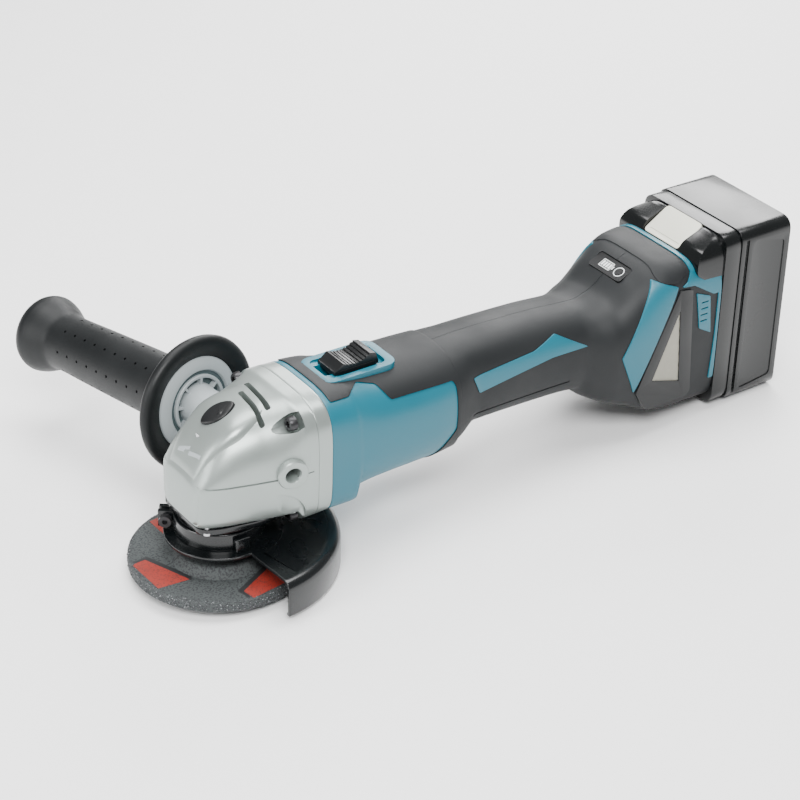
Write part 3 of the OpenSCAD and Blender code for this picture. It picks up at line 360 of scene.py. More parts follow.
def both_sides(points, radius=0.8, near=6, far=60):
    """Two prisms of the same X and Z outline, one on each side."""
    shape = rounded(points, radius) if radius else points
    return [prism(shape, far - near, from_side(side * near, side)) for side in (-1, 1)]


# ---- Repeated items by Geometry Nodes ----


def scatter(name, item, places, turns=None, sizes=None):
    """Copies of item at the places, each turned by its Euler angles and scaled by its size."""
    points = bpy.data.meshes.new(name + "_places")
    points.from_pydata([tuple(p) for p in places], [], [])
    turn = points.attributes.new("turn", "FLOAT_VECTOR", "POINT")
    angles = np.array(turns if turns is not None else [(0, 0, 0)] * len(places), float)
    turn.data.foreach_set("vector", angles.ravel())
    size = points.attributes.new("size", "FLOAT", "POINT")
    size.data.foreach_set("value", list(sizes) if sizes is not None else [1.0] * len(places))
    tree = bpy.data.node_groups.new(name, "GeometryNodeTree")
    sockets = tree.interface
    sockets.new_socket("Places", in_out="INPUT", socket_type="NodeSocketGeometry")
    sockets.new_socket("Result", in_out="OUTPUT", socket_type="NodeSocketGeometry")
    item_socket = sockets.new_socket("Item", in_out="INPUT", socket_type="NodeSocketObject")
    scale_socket = sockets.new_socket("Overall scale", in_out="INPUT", socket_type="NodeSocketFloat")
    finish_socket = sockets.new_socket("Finish", in_out="INPUT", socket_type="NodeSocketMaterial")
    new, join = tree.nodes.new, tree.links.new
    start, end = new("NodeGroupInput"), new("NodeGroupOutput")
    info, instance = new("GeometryNodeObjectInfo"), new("GeometryNodeInstanceOnPoints")
    stored, euler = new("GeometryNodeInputNamedAttribute"), new("FunctionNodeEulerToRotation")
    stored.data_type = "FLOAT_VECTOR"
    stored.inputs["Name"].default_value = "turn"
    share, scale = new("GeometryNodeInputNamedAttribute"), new("ShaderNodeMath")
    share.inputs["Name"].default_value = "size"
    scale.operation = "MULTIPLY"
    realize, paint = new("GeometryNodeRealizeInstances"), new("GeometryNodeSetMaterial")
    join(start.outputs["Item"], info.inputs["Object"])
    join(start.outputs["Places"], instance.inputs["Points"])
    join(info.outputs["Geometry"], instance.inputs["Instance"])
    join(stored.outputs["Attribute"], euler.inputs[0])
    join(euler.outputs[0], instance.inputs["Rotation"])
    join(share.outputs["Attribute"], scale.inputs[0])
    join(start.outputs["Overall scale"], scale.inputs[1])
    join(scale.outputs[0], instance.inputs["Scale"])
    join(instance.outputs[0], realize.inputs[0])
    join(realize.outputs[0], paint.inputs["Geometry"])
    join(start.outputs["Finish"], paint.inputs["Material"])
    join(paint.outputs[0], end.inputs["Result"])
    obj = link(bpy.data.objects.new(name, points))
    repeat = obj.modifiers.new("repeat", "NODES")
    repeat.node_group = tree
    repeat[item_socket.identifier] = item
    repeat[scale_socket.identifier] = 1.0
    repeat[finish_socket.identifier] = STEEL
    settle(obj)
    drop(item)
    return obj


# ---- Materials ----


def surface(name, colour, roughness, metallic=0.0, grain=1500.0, bump=0.2, depth=0.03, mottle=0.06,
            blotch=45.0, coat=0.0, stretch=(1, 1, 1), speckle=None, shine=0.5):
    """A procedural finish: fine grain in the bump, with soft blotches in colour and roughness.
    grain and blotch are noise scales per metre; depth is the bump's height in millimetres;
    speckle is a second colour, its noise scale and how much of the surface it takes;
    shine is the strength of its plain reflection."""
    material = bpy.data.materials.new(name)
    material.use_nodes = True
    new, join = material.node_tree.nodes.new, material.node_tree.links.new
    shader = material.node_tree.nodes["Principled BSDF"]
    shader.inputs["Metallic"].default_value = metallic
    shader.inputs["Coat Weight"].default_value = coat
    shader.inputs["Specular IOR Level"].default_value = shine
    shader.inputs["Coat Roughness"].default_value = 0.08
    where, scaled = new("ShaderNodeTexCoord"), new("ShaderNodeMapping")
    scaled.inputs["Scale"].default_value = stretch
    join(where.outputs["Object"], scaled.inputs["Vector"])
    fine, soft = new("ShaderNodeTexNoise"), new("ShaderNodeTexNoise")
    for noise, scale, detail in ((fine, grain, 3), (soft, blotch, 4)):
        noise.inputs["Scale"].default_value = scale
        noise.inputs["Detail"].default_value = detail
        join(scaled.outputs["Vector"], noise.inputs["Vector"])
    tint = new("ShaderNodeMix")
    tint.data_type = "RGBA"
    tint.inputs["A"].default_value = (*(c * (1 - mottle) for c in colour), 1)
    tint.inputs["B"].default_value = (*(min(1, c * (1 + mottle)) for c in colour), 1)
    join(soft.outputs["Fac"], tint.inputs["Factor"])
    tinted = tint.outputs["Result"]
    if speckle:
        flecks, edge, mixed = (new(n) for n in ("ShaderNodeTexNoise", "ShaderNodeMapRange", "ShaderNodeMix"))
        flecks.inputs["Scale"].default_value = speckle[1]
        flecks.inputs["Detail"].default_value = 5
        join(scaled.outputs["Vector"], flecks.inputs["Vector"])
        edge.inputs["From Min"].default_value = 0.66 - 0.3 * speckle[2]
        edge.inputs["From Max"].default_value = 0.72 - 0.3 * speckle[2]
        join(flecks.outputs["Fac"], edge.inputs["Value"])
        mixed.data_type = "RGBA"
        mixed.inputs["B"].default_value = (*speckle[0], 1)
        join(edge.outputs["Result"], mixed.inputs["Factor"])
        join(tinted, mixed.inputs["A"])
        tinted = mixed.outputs["Result"]
    join(tinted, shader.inputs["Base Color"])
    gloss = new("ShaderNodeMapRange")
    gloss.inputs["From Min"].default_value, gloss.inputs["From Max"].default_value = 0.3, 0.7
    gloss.inputs["To Min"].default_value = max(0.03, roughness - 0.07)
    gloss.inputs["To Max"].default_value = roughness + 0.07
    join(soft.outputs["Fac"], gloss.inputs["Value"])
    join(gloss.outputs["Result"], shader.inputs["Roughness"])
    relief = new("ShaderNodeBump")
    relief.inputs["Strength"].default_value = bump
    relief.inputs["Distance"].default_value = depth * MM
    join(fine.outputs["Fac"], relief.inputs["Height"])
    join(relief.outputs["Normal"], shader.inputs["Normal"])
    return material


STEEL = surface("steel", (0.46, 0.47, 0.48), 0.3, 1.0, 900, 0.25, 0.02, stretch=(1, 1, 6))
BLACK_STEEL = surface("black_oxide_steel", (0.03, 0.03, 0.032), 0.34, 0.6, 1800, 0.2)
SILVER = surface("cast_silver_paint", (0.29, 0.325, 0.31), 0.36, 0.6, 2600, 0.3, 0.03, 0.05, 30, coat=0.15)
TEAL = surface("teal_plastic", (0.0, 0.105, 0.15), 0.4, 0, 2400, 0.25, 0.03, 0.05, 25)
RUBBER = surface("dark_grip_rubber", (0.0075, 0.0088, 0.0098), 0.56, 0, 2600, 0.5, 0.06, 0.1, 30, shine=0.3)
GRIP = surface("side_grip_rubber", (0.0035, 0.0045, 0.005), 0.5, 0, 3000, 0.6, 0.07, 0.12, 40, shine=0.3)
BLACK = surface("black_plastic", (0.006, 0.0065, 0.007), 0.36, 0, 2200, 0.3, 0.03, 0.1, shine=0.35)
GLOSS = surface("gloss_black_plastic", (0.002, 0.0028, 0.003), 0.24, 0, 1400, 0.1, 0.01, 0.1, 25,
                coat=0.15, shine=0.35)
GUARD = surface("black_enamelled_steel", (0.003, 0.004, 0.0045), 0.24, 0.1, 700, 0.12, 0.03, 0.1, 25,
                coat=0.2, shine=0.4)
GREY = surface("grey_plastic", (0.30, 0.33, 0.34), 0.42, 0, 2200, 0.3, 0.03)
DARK_GREY = surface("slate_plastic", (0.06, 0.085, 0.09), 0.5, 0, 2200, 0.3, 0.03)
CREAM = surface("cream_plastic", (0.62, 0.62, 0.53), 0.4, 0, 2200, 0.25, 0.03, 0.04)
DISC = surface("wheel_fibre", (0.045, 0.052, 0.052), 0.75, 0, 1500, 0.8, 0.15, 0.2, 120,
               speckle=((0.02, 0.022, 0.024), 900, 0.5))
GRIT = surface("wheel_grit", (0.035, 0.037, 0.04), 0.45, 0.1, 2500, 0.8, 0.1, 0.4, 700,
               speckle=((0.30, 0.32, 0.33), 1300, 0.25))
RED = surface("red_label", (0.25, 0.02, 0.012), 0.6, 0, 1500, 0.6, 0.1, 0.2, 150,
              speckle=((0.12, 0.02, 0.015), 1100, 0.4))
INK = surface("black_label", (0.012, 0.013, 0.014), 0.6, 0, 1500, 0.5, 0.08, 0.2, 150)
WHITE = surface("white_print", (0.75, 0.78, 0.78), 0.45, 0, 1500, 0.2, 0.02, 0.04)
COPPER = surface("copper_wire", (0.72, 0.32, 0.14), 0.3, 1.0, 900, 0.5, 0.1, stretch=(1, 8, 8))
BRASS = surface("brass", (0.72, 0.55, 0.25), 0.28, 1.0, 1200, 0.2)
IRON = surface("laminated_iron", (0.2, 0.2, 0.21), 0.5, 0.9, 500, 0.7, 0.1, stretch=(6, 0.3, 0.3))
BOARD = surface("circuit_board", (0.01, 0.10, 0.04), 0.4, 0, 1500, 0.2, speckle=((0.4, 0.35, 0.2), 260, 0.3))
CELL = surface("cell_wrap", (0.04, 0.32, 0.18), 0.35, 0, 1200, 0.1)
MESH = surface("woven_wire", (0.36, 0.35, 0.30), 0.42, 0.7, 3000, 0.4, 0.04, 0.15, 200)
ALUMINIUM = surface("aluminium", (0.42, 0.43, 0.44), 0.45, 1.0, 1500, 0.3)

# CAD nodes whose shape is right keep it, and take the finish of what they are made of
for finish, names in (
        (BLACK_STEEL, "gear_housing_screws guard_clamp_screw handle_screws lock_nut"),
        (STEEL, "bearing_box_screws shaft_lock_pin shaft_lock_spring spindle ring_gear spindle_bearing "
                "spindle_top_bearing pinion rotor_shaft motor_front_bearing motor_rear_bearing "
                "inner_flange side_handle_stud switch_spring battery_screws release_spring"),
        (IRON, "rotor_core stator"), (COPPER, "stator_coils"), (BRASS, "terminal_blades"),
        (BOARD, "sensor_board battery_board"), (CELL, "battery_cells"), (ALUMINIUM, "controller"),
        (SILVER, "gear_housing gear_housing_cover"), (GUARD, "wheel_guard guard_clamp_band bearing_box"),
        (BLACK, "fan baffle_plate shaft_lock_button switch_knob switch_link switch_unit terminal_block "
                "cell_holder latch check_button indicator_panel dust_cover_frames"),
        (RUBBER, "handle_left handle_right"), (GRIP, "side_handle_grip motor_wires"),
        (GREY, "side_handle_core"), (TEAL, "motor_housing switch_bezel accent_stripes side_trims"),
        (MESH, "dust_cover_meshes"), (GLOSS, "battery_front_case battery_rear_case"),
        (CREAM, "release_button"), (DISC, "grinding_wheel")):
    for node in names.split():
        mesh = frame["nodes"][node].data
        mesh.materials.clear()
        mesh.materials.append(finish)

# ---- Gear head ----
hole = next(m for m in frame["record"]["mounts"] if m["name"] == "side_handle_hole")
HOLE_R = hole["dims"]["r_mm"]


def side_axis(side):
    """Places what is drawn up Z on the side handle's axis, on the near side (-1) or the far side."""
    at = Vector(hole["pos_m"]) / MM - Vector((0, 0, AXIS_Z / MM))
    way = Vector(hole["axis"])
    at.y, way.y = -side * at.y, -side * way.y
    return Matrix.Translation(at) @ way.to_track_quat("Z", "Y").to_matrix().to_4x4()


SCREW_Y, SCREW_TOP, SCREW_LOW, SCREW_X = 27, 28.6, -27.4, 26
corners = [(y, z) for y in (-SCREW_Y, SCREW_Y) for z in (SCREW_TOP, SCREW_LOW)]


def groove(stations, x0, x1, z, width, depth):
    """A cutter for a thin line along both sides of a swept housing."""
    ring = shell(between(stations, x0, x1), -1, depth, 24)
    return combine(ring, [block(x0 - 1, x1 + 1, -60, 60, z - width / 2, z + width / 2)], "INTERSECT")


# Raised plateau from the nose to the lock button
PLATEAU = fill_stations([(NOSE + 2, 13, 5.2, -4, 0, 4, 4), (-16, 15.5, 16.2, 2, 8, 4, 4),
                         (-8, 18, 24.6, 6, 14, 4, 4), (2, 20, 31, 10, 18, 4, 4),
                         (12, 19, 34.2, 14, 20, 4, 4), (22, 15, 36, 20, 24, 4, 4)], 2)


def gear_head():
    cast = sweep(HEAD, 0, 24, "gear_housing_cast")
    combine(cast, [sweep(PLATEAU, 0, 14, "plateau")], "UNION")
    # the lower wall stands a little proud of the upper one
    belt = shell(between(HEAD, NOSE + 1.2, 27), -0.55, 1, 24)
    combine(belt, [block(NOSE - 2, 28, -60, 60, BASE + 0.2, 0.8)], "INTERSECT")
    combine(cast, [belt], "UNION")
    for side in (-1, 1):
        combine(cast, [lathe([(0, -8), (8.6, -8), (8.6, 0.1), (8.1, 0.6), (0, 0.6)], 64,
                             matrix=side_axis(side))], "UNION")
    cuts = []
    for side in (-1, 1):
        cuts.append(lathe([(0, -16), (HOLE_R, -16), (HOLE_R, -0.6), (HOLE_R + 1, 1), (0, 1)], 48,
                          matrix=side_axis(side)))
        arch = [(14 + 19 * math.cos(math.radians(a)), BASE - 2 + 19 * math.sin(math.radians(a)))
                for a in range(0, 181, 6)] + [(-5, BASE - 12), (33, BASE - 12)]
        cuts.append(prism(arch, 8, from_side(side * 33, side)))
    # vents in the roof and the pocket of the lock button
    for x, y in ((15.6, -8), (22.6, -2.4)):
        cuts.append(prism(pill(3.2, 27, 1.55), 30, Matrix.Translation((x, y, 22))
                          @ Matrix.Rotation(math.radians(-5), 4, "Z")))
    for y, z in corners:
        scoop = lathe([(0, -27), (0.6, -27), (5.4, -0.4), (5.4, 4), (0, 4)], 40,
                      matrix=place(SCREW_X + 3.4, y, z, (0, 90, 0)))
        cuts.append(scoop)
    cuts.append(cylinder(21.85, 14, Matrix.Translation((0, 0, BASE - 8)), 96))
    combine(cast, cuts)
    combine(cast, [groove(HEAD, -20, F - 3, 0.8, 0.7, 0.45)])
    round_edges(cast, 0.7, 3, 32)
    return dress(cast, SILVER, "tool", ["gear_housing"])


def ribbed_ring():
    ring = sweep(between(fill_stations([(F, HW, 37, -34, 1, 3.8, 5), (M0, HW - 0.3, 36.7, -33.7, 1, 3.8, 5)]),
                         F + 0.15, M0), 0, 30, "gear_housing_cover_ring")
    round_edges(ring, 0.5, 2)
    return dress(ring, SILVER, "tool", ["gear_housing_cover"])


def torx(radius, depth, matrix=Matrix.Identity(4)):
    """A six-lobed recess."""
    star = []
    for i in range(48):
        a = 2 * math.pi * i / 48
        r = radius * (0.86 + 0.14 * math.cos(6 * a))
        star.append((r * math.cos(a), r * math.sin(a)))
    return prism(star, depth, matrix)


def screw_head(radius, height, socket):
    head = lathe([(0, 0), (radius, 0), (radius, height * 0.7), (radius * 0.8, height), (0, height)], 40)
    combine(head, [torx(socket, height, Matrix.Translation((0, 0, height * 0.45)))])
    return head


def head_screws():
    facing = (0, -math.pi / 2, 0)
    places = [(SCREW_X + 3.9, y, z) for y, z in corners]
    heads = scatter("head_screws", screw_head(3.9, 4, 2.1), places, [facing] * 4)
    return dress(heads, BLACK_STEEL, "tool", ["gear_housing_screws"])


def lock_button():
    """The leaf-shaped shaft lock on the plateau, with its moulded dot."""
    leaf = []
    for side in (1, -1):
        for k in range(24):
            t = -1 + 2 * k / 24
            leaf.append((side * t * 10.3, side * 6.1 * (1 - t * t) ** 0.75))
    tilt = Matrix.Translation((0.6, 0.6, 29.4)) @ Matrix.Rotation(math.radians(-27), 4, "Y") \
        @ Matrix.Rotation(math.radians(-14), 4, "Z")
    lever = prism(leaf, 6.4, tilt @ Matrix.Translation((0, 0, -4.6)), "shaft_lock_leaf")
    round_edges(lever, 0.9, 3)
    dot = lathe([(0, -0.4), (1.5, -0.4), (1.5, 0.1), (1.1, 0.35), (0, 0.35)], 24,
                matrix=tilt @ Matrix.Translation((0.6, -2.2, 1.7)))
    combine(lever, [dot], "UNION")
    return dress(lever, BLACK, "shaft_lock", ["shaft_lock_button"])


def arrow():
    """Raised strokes that show which way the spindle turns."""
    strokes = [[(-19.6, 8.4), (-18.7, 8.4), (-16.6, -0.4), (-17.5, -0.4)],
               [(-19.6, 8.4), (-18.7, 8.4), (-18.0, 3.0), (-18.9, 3.0)],
               [(-18.9, -1.0), (-17.9, -1.0), (-16.6, -10.7), (-17.6, -10.7)]]
    marks = None
    for k, points in enumerate(strokes):
        mark = prism(points, 40, Matrix.Translation((0, 0, -5)), "arrow")
        marks = mark if marks is None else combine(marks, [mark], "UNION")
    proud = combine(sweep(HEAD, -0.35, 24), [sweep(PLATEAU, -0.35, 14)], "UNION")
    kept = combine(marks, [proud], "INTERSECT")
    return dress(kept, GREY, "tool")


gear_head()
ribbed_ring()
head_screws()
lock_button()
arrow()

# ---- Motor housing and slide switch ----
KNOB = middle("switch_bezel").x / MM
BEZEL_L = (high("switch_bezel").x - low("switch_bezel").x) / MM
BEZEL_W = 2 * high("switch_bezel").y / MM
BEZEL_TOP = (high("switch_bezel").z - AXIS_Z) / MM


def motor():
    shell_body = sweep(MOTOR, 0, 26, "motor_housing_teal")
    combine(shell_body, [prism(pill(34, 12, 3), 20, Matrix.Translation((KNOB - 3, 0, 24)))])
    round_edges(shell_body, 0.6, 2, 40)
    return dress(shell_body, TEAL, "tool", ["motor_housing"])


def overmould():
    """Soft dark skin over the top of the motor housing, with a teal tab left beside the switch."""
    edge = [(M0 + 3.4, 60), (M0 + 3.4, 33.4), (M0 + 15.8, 32.6), (M0 + 26, 34), (M0 + 36, 31.6),
            (M0 + 41, 24.2), (M1 - 4.6, 23.0), (M1 - 2.9, 20), (M1 - 2.9, -6.5), (M1 - 8.4, -14),
            (M1 - 18, -31), (M1 - 18, -60), (M1 + 5, -60), (M1 + 5, 60)]
    cover = skin(MOTOR, 0.55, both_sides(edge, 1.2, -0.5), "overmould_skin", 1.0, 26)
    combine(cover, [prism(pill(BEZEL_L - 2, BEZEL_W - 2, 6), 30, Matrix.Translation((KNOB, 0, 20)))])
    round_edges(cover, 0.3, 2, 40)
    return dress(cover, RUBBER, "tool")


def bezel():
    """Raised rim around the slide switch, higher at the front than beside the knob."""
    ring = prism(pill(BEZEL_L, BEZEL_W, 7.5), BEZEL_TOP - 27, Matrix.Translation((KNOB, 0, 27)), "switch_rim")
    well = prism(pill(BEZEL_L - 9, BEZEL_W - 8.4, 4.5), 20, Matrix.Translation((KNOB - 0.5, 0, 31)))
    dip = prism([(KNOB - 14, 60), (KNOB - 9, BEZEL_TOP - 0.2), (KNOB + 2, BEZEL_TOP - 2.2),
                 (KNOB + 12, BEZEL_TOP - 1.6), (KNOB + BEZEL_L / 2 + 1, BEZEL_TOP - 1.2),
                 (KNOB + BEZEL_L / 2 + 1, 60)], 80, from_side(-40, 1))
    combine(ring, [well, dip])
    round_edges(ring, 1.3, 4, 30)
    return dress(ring, TEAL, "tool", ["switch_bezel"])


def knob():
    """Slide button with a hollow front, a raised rear edge and grip ribs."""
    side = [(-14, 35.4), (-14, 37.2), (-11.6, 38.6), (-8.5, 41.4), (-5, 40.2), (0, 39.6), (4, 40.4),
            (8.6, 43.0), (12, 42.2), (14, 37.2), (14, 35.4)]
    body = prism([(KNOB + x, z) for x, z in side], 16.6, from_side(-8.3, 1), "switch_knob_ribbed")
    foot = prism(pill(28, 17.4, 3.4), 3, Matrix.Translation((KNOB, 0, 34.6)))
    combine(body, [foot], "UNION")
    round_edges(body, 0.9, 3, 25)
    rib = prism(pill(0.8, 20, 0.3), 6, Matrix.Translation((0, 0, -0.45)))
    places, turns = [], []
    for i in range(8):
        x = -6.6 + i * 2.05
        z = float(np.interp(x, [s[0] for s in side], [s[1] for s in side]))
        places.append((KNOB + x, 0, z))
        turns.append((0, 0, 0))
    combine(body, [scatter("knob_grooves", rib, places, turns)])
    return dress(body, BLACK, "switch_slider", ["switch_knob"])


motor()
overmould()
bezel()
knob()

# ---- Handle ----
CUT_X = OVERHANG_X / MM
SHELF = 43
TONGUE = 31.4


def handle_cuts():
    """What both halves leave free for the battery's overhang and tongue."""
    overhang = prism([(CUT_X, SHELF + 0.5), (CUT_X + 13, 34), (CUT_X + 30, 34), (CUT_X + 30, 80), (CUT_X, 80)],
                     120, from_side(-60, 1))
    return [overhang, block(CUT_X, CUT_X + 40, -TONGUE, TONGUE, -42, 90)]


PANEL = middle("indicator_panel")
PANEL_AT = Matrix.Translation((PANEL.x / MM, 0, (PANEL.z - AXIS_Z) / MM)) @ Matrix.Rotation(math.radians(-26), 4, "Y")


def handle_half(side, node):
    half = sweep(HANDLE, 0, 28, "handle_" + ("near" if side < 0 else "far"))
    combine(half, [block(M1 - 1, J + 1, side * 0.09, side * 60, -80, 80)], "INTERSECT")
    window = [(FL + 32, -16), (FL + 49, 25), (FL + 52.5, -22)]
    hollow = [(FL + 29.5, -24), (FL + 50, 37), (FL + 57, 35), (FL + 61, -31)]
    cuts = handle_cuts()
    cuts.append(prism(pill(11.4, 28.4, 2.2), 20, PANEL_AT @ Matrix.Translation((0, 0, -1.2))))
    cuts += [prism(rounded(hollow, 2), 3, from_side(side * 34.4, side)),
             prism(rounded(window, 1), 10, from_side(side * 31, side))]
    # pockets of the housing screws on the far half
    if side > 0:
        cuts += [lathe([(0, 0), (3.4, 0), (3.4, 40), (0, 40)], 32, matrix=place(x, 14, z, (-90, 0, 0)))
                 for x, z in ((M1 + 9, -11), (FL - 14, -13), (FL + 40, -33), (FL + 40, 41))]
    combine(half, cuts)
    combine(half, [groove(HANDLE, M1 + 12, FL - 20, -5.4, 0.9, 0.5)])
    round_edges(half, 0.45, 2, 38)
    return dress(half, RUBBER, "tool", [node])


def hump_cap():
    """Separate moulded cap across the top of the flare, in front of the battery."""
    edge = [(FL + 42, 60), (FL + 35, 47), (FL + 37, 43.4), (FL + 47, 42.6), (FL + 53, 46), (FL + 58.8, 60)]
    cap = skin(HANDLE, 0.5, both_sides(edge, 1.5, -0.5), "hump_cap", 1.2, 28)
    combine(cap, [block(FL + 50, J, 0, 80, 52.2, 70)])
    round_edges(cap, 0.3, 2, 40)
    return dress(cap, RUBBER, "tool")


def stripes():
    edge = [(M1 + 10.8, 18.5), (M1 + 54, 21.5), (M1 + 70, 26.5), (FL - 9, 14.6), (FL - 34, 14.8),
            (M1 + 15, 8.5)]
    band = skin(HANDLE, 0.42, both_sides(edge, 1.2), "accent_stripe_skins")
    return dress(band, TEAL, "tool", ["accent_stripes"])


def trims():
    """Slanting teal panel, the rim along the battery's opening and the small vent panel."""
    slant = [(FL + 9.8, 4.4), (FL + 33, 45.5), (FL + 46.9, 40.3), (FL + 19.4, -20.2)]
    rim = [(CUT_X - 3.1, 60), (CUT_X - 3.1, 46), (CUT_X - 6.2, 41.4), (CUT_X - 10, 39.4), (CUT_X - 1.6, 38.6),
           (CUT_X + 13, 29.6), (CUT_X + 16.8, 29.6), (CUT_X + 16.8, 2), (CUT_X + 15.4, -27), (J - 0.7, -27),
           (J - 0.7, 60)]
    vent = [(CUT_X + 0.3, 33), (CUT_X + 10.5, 29.0), (CUT_X + 13.2, 4.4), (CUT_X + 4.3, 9.4)]
    made = skin(HANDLE, 0.7, both_sides(slant, 0.8) + both_sides(rim, 0.8, -0.5) + both_sides(vent, 0.8),
                "side_trim_skins", 1.2, 28)
    combine(made, handle_cuts())
    slots = [prism(pill(5.4, 0.8, 0.3), 1.4, from_side(side * 35.9, side)
                   @ Matrix.Translation((CUT_X + 6.9, 14 + 4 * k, 0))) for side in (-1, 1) for k in range(4)]
    combine(made, slots)
    round_edges(made, 0.3, 2, 40)
    return dress(made, TEAL, "tool", ["side_trims"])


def dust_frames():
    """Raised frames of the dust covers: a deep bevelled border around a slanting window."""
    outer = [(FL + 20.5, -21), (FL + 48, 38), (FL + 57.2, 36.8), (FL + 62, -31), (FL + 59, -34.5), (FL + 29, -34.5)]
    window = [(FL + 32, -16), (FL + 49, 25), (FL + 52.5, -22)]
    frames = None
    for side in (-1, 1):
        border = prism(rounded(outer, 1.8), 3.4, from_side(side * 32.8, side), "dust_frame")
        combine(border, [prism(rounded(window, 0.8), 8, from_side(side * 30, side))])
        frames = border if frames is None else combine(frames, [border], "UNION")
    round_edges(frames, 0.7, 3, 30)
    return dress(frames, BLACK, "tool", ["dust_cover_frames"])


def dust_meshes():
    """Woven wire behind the dust covers' windows."""
    pitch, wire = 1.15, 0.24
    thread = cylinder(wire, 46, Matrix.Translation((0, 0, -23)), 6)
    centre_x, centre_z, y = FL + 44.5, 1.0, 35.4
    places, turns = [], []
    for side in (-1, 1):
        for k in range(-20, 21):
            places.append((centre_x + k * pitch * 0.5, side * y, centre_z))
            turns.append((0, 0, 0))
            places.append((centre_x, side * (y - wire * 1.4), centre_z + k * pitch * 0.98))
            turns.append((0, math.pi / 2, 0))
    wires = scatter("dust_mesh_wires", thread, places, turns)
    border = [(FL + 31.4, -16.6), (FL + 49, 26.4), (FL + 53.2, -22.6)]
    keep = [prism(border, 6, from_side(side * 32, side)) for side in (-1, 1)]
    combine(keep[0], [keep[1]], "UNION")
    cut = wires.modifiers.new("shape", "BOOLEAN")
    cut.operation, cut.solver, cut.object, cut.use_self = "INTERSECT", "EXACT", keep[0], True
    settle(wires)
    drop(keep[0])
    return dress(wires, MESH, "tool", ["dust_cover_meshes"])


handle_half(-1, "handle_left")
handle_half(1, "handle_right")
hump_cap()
stripes()
trims()
dust_frames()
dust_meshes()

# ---- Battery ----
BAT = {"hw": high("battery_rear_case").y / MM, "low": (low("battery_rear_case").z - AXIS_Z) / MM,
       "top": (high("battery_rear_case").z - AXIS_Z) / MM, "end": high("battery_rear_case").x / MM}


def case_block(x0, x1, inset, radius, name):
    half, bottom, top = BAT["hw"] - inset, BAT["low"] + inset, BAT["top"] - inset
    shape = rounded([(-half, bottom), (half, bottom), (half, top), (-half, top)], radius, 8)
    turn = Matrix(((0, 0, 1, 0), (1, 0, 0, 0), (0, 1, 0, 0), (0, 0, 0, 1)))
    return prism(shape, x1 - x0, Matrix.Translation((x0, 0, 0)) @ turn, name)


def battery_front():
    case = case_block(J + 0.1, SPLIT_X / MM - 0.15, 0.5, 9, "battery_front_shell")
    hood = case_block(CUT_X, J + 2, 1.6, 15, "hood")
    slope = [(CUT_X, SHELF + 1), (CUT_X, SHELF + 8), (CUT_X + 4, SHELF + 13.6), (CUT_X + 16, BAT["top"] - 2.4),
             (J + 2, BAT["top"]), (J + 2, 35), (CUT_X + 13, 35)]
    combine(hood, [prism(rounded(slope, 2.4), 120, from_side(-60, 1))], "INTERSECT")
    combine(case, [hood], "UNION")
    tongue = block(CUT_X + 6, J + 2, -24, 24, BAT["low"] + 15, 40)
    combine(case, [tongue], "UNION")
    cuts = [block(CUT_X + 7.6, CUT_X + 11.4, side * 21, side * 26, -80, 34) for side in (-1, 1)]
    cuts += [block(CUT_X + 5, CUT_X + 13.5, y - 0.9, y + 0.9, -80, 8) for y in (-9, 9)]
    button = middle("release_button")
    cuts.append(prism(pill(21.9, 31.9, 3), 30, Matrix.Translation((button.x / MM, 0, (button.z - AXIS_Z) / MM))
                      @ Matrix.Rotation(math.radians(-32), 4, "Y") @ Matrix.Translation((0, 0, -4))))
    combine(case, cuts)
    round_edges(case, 1.1, 3, 30)
    return dress(case, GLOSS, "battery", ["battery_front_case"])


def battery_rear():
    split = SPLIT_X / MM
    case = case_block(split + 0.15, BAT["end"], 0, 8, "battery_rear_shell")
    cuts = []
    for side in (-1, 1):
        # stepped side panel with a bevelled outline
        panel = [(split + 9, BAT["low"] + 6), (BAT["end"] - 4, BAT["low"] + 9), (BAT["end"] - 4, BAT["top"] - 12),
                 (split + 12, BAT["top"] - 7), (split + 9, BAT["top"] - 12)]
        cuts.append(prism(rounded(panel, 3), 4, from_side(side * (BAT["hw"] - 0.7), side)))
        cuts.append(block(split + 3.4, split + 5.6, side * (BAT["hw"] - 1.1), side * 60,
                          BAT["low"] - 1, BAT["top"] - 6))
    combine(case, cuts)
    round_edges(case, 1.5, 4, 30)
    return dress(case, GLOSS, "battery", ["battery_rear_case"])


def cream_button():
    centre = middle("release_button")
    at = Matrix.Translation((centre.x / MM, 0, (centre.z - AXIS_Z) / MM)) @ Matrix.Rotation(math.radians(-32), 4, "Y")
    pad = prism(pill(21, 31, 3), 3.6, at @ Matrix.Translation((0, 0, -1.8)), "release_button_pad")
    lip = prism(pill(2.2, 26, 1), 2, at @ Matrix.Translation((-8.2, 0, 1.35)))
    combine(pad, [lip])
    round_edges(pad, 0.9, 4, 35)
    return dress(pad, CREAM, "battery_release", ["release_button"])


battery_front()
battery_rear()
cream_button()


def panel_marks():
    """Outline of a battery with four charge bars, and a ring around the button, on the panel."""
    top = PANEL_AT @ Matrix.Translation((0, 0, 0.62))
    marks = prism(rounded([(-2.8, -1.6), (2.8, -1.6), (2.8, 7.6), (-2.8, 7.6)], 0.5), 0.12, top, "panel_marks")
    combine(marks, [prism([(-2.4, -1.2), (2.4, -1.2), (2.4, 7.2), (-2.4, 7.2)], 1,
                          top @ Matrix.Translation((0, 0, -0.4)))])
    bars = [block(-1.8, 1.8, -0.7 + 2.0 * k, 0.6 + 2.0 * k, 0, 0.12) for k in range(4)]
    bars.append(block(-1.2, 1.2, -2.8, -2.1, 0, 0.12))
    for bar in bars:
        combine(marks, [move(bar, top)], "UNION")
    ring = lathe([(2.9, 0), (3.4, 0), (3.4, 0.12), (2.9, 0.12)], 40, matrix=top @ Matrix.Translation((0, -8, 0)))
    combine(marks, [ring], "UNION")
    return dress(marks, WHITE, "tool")


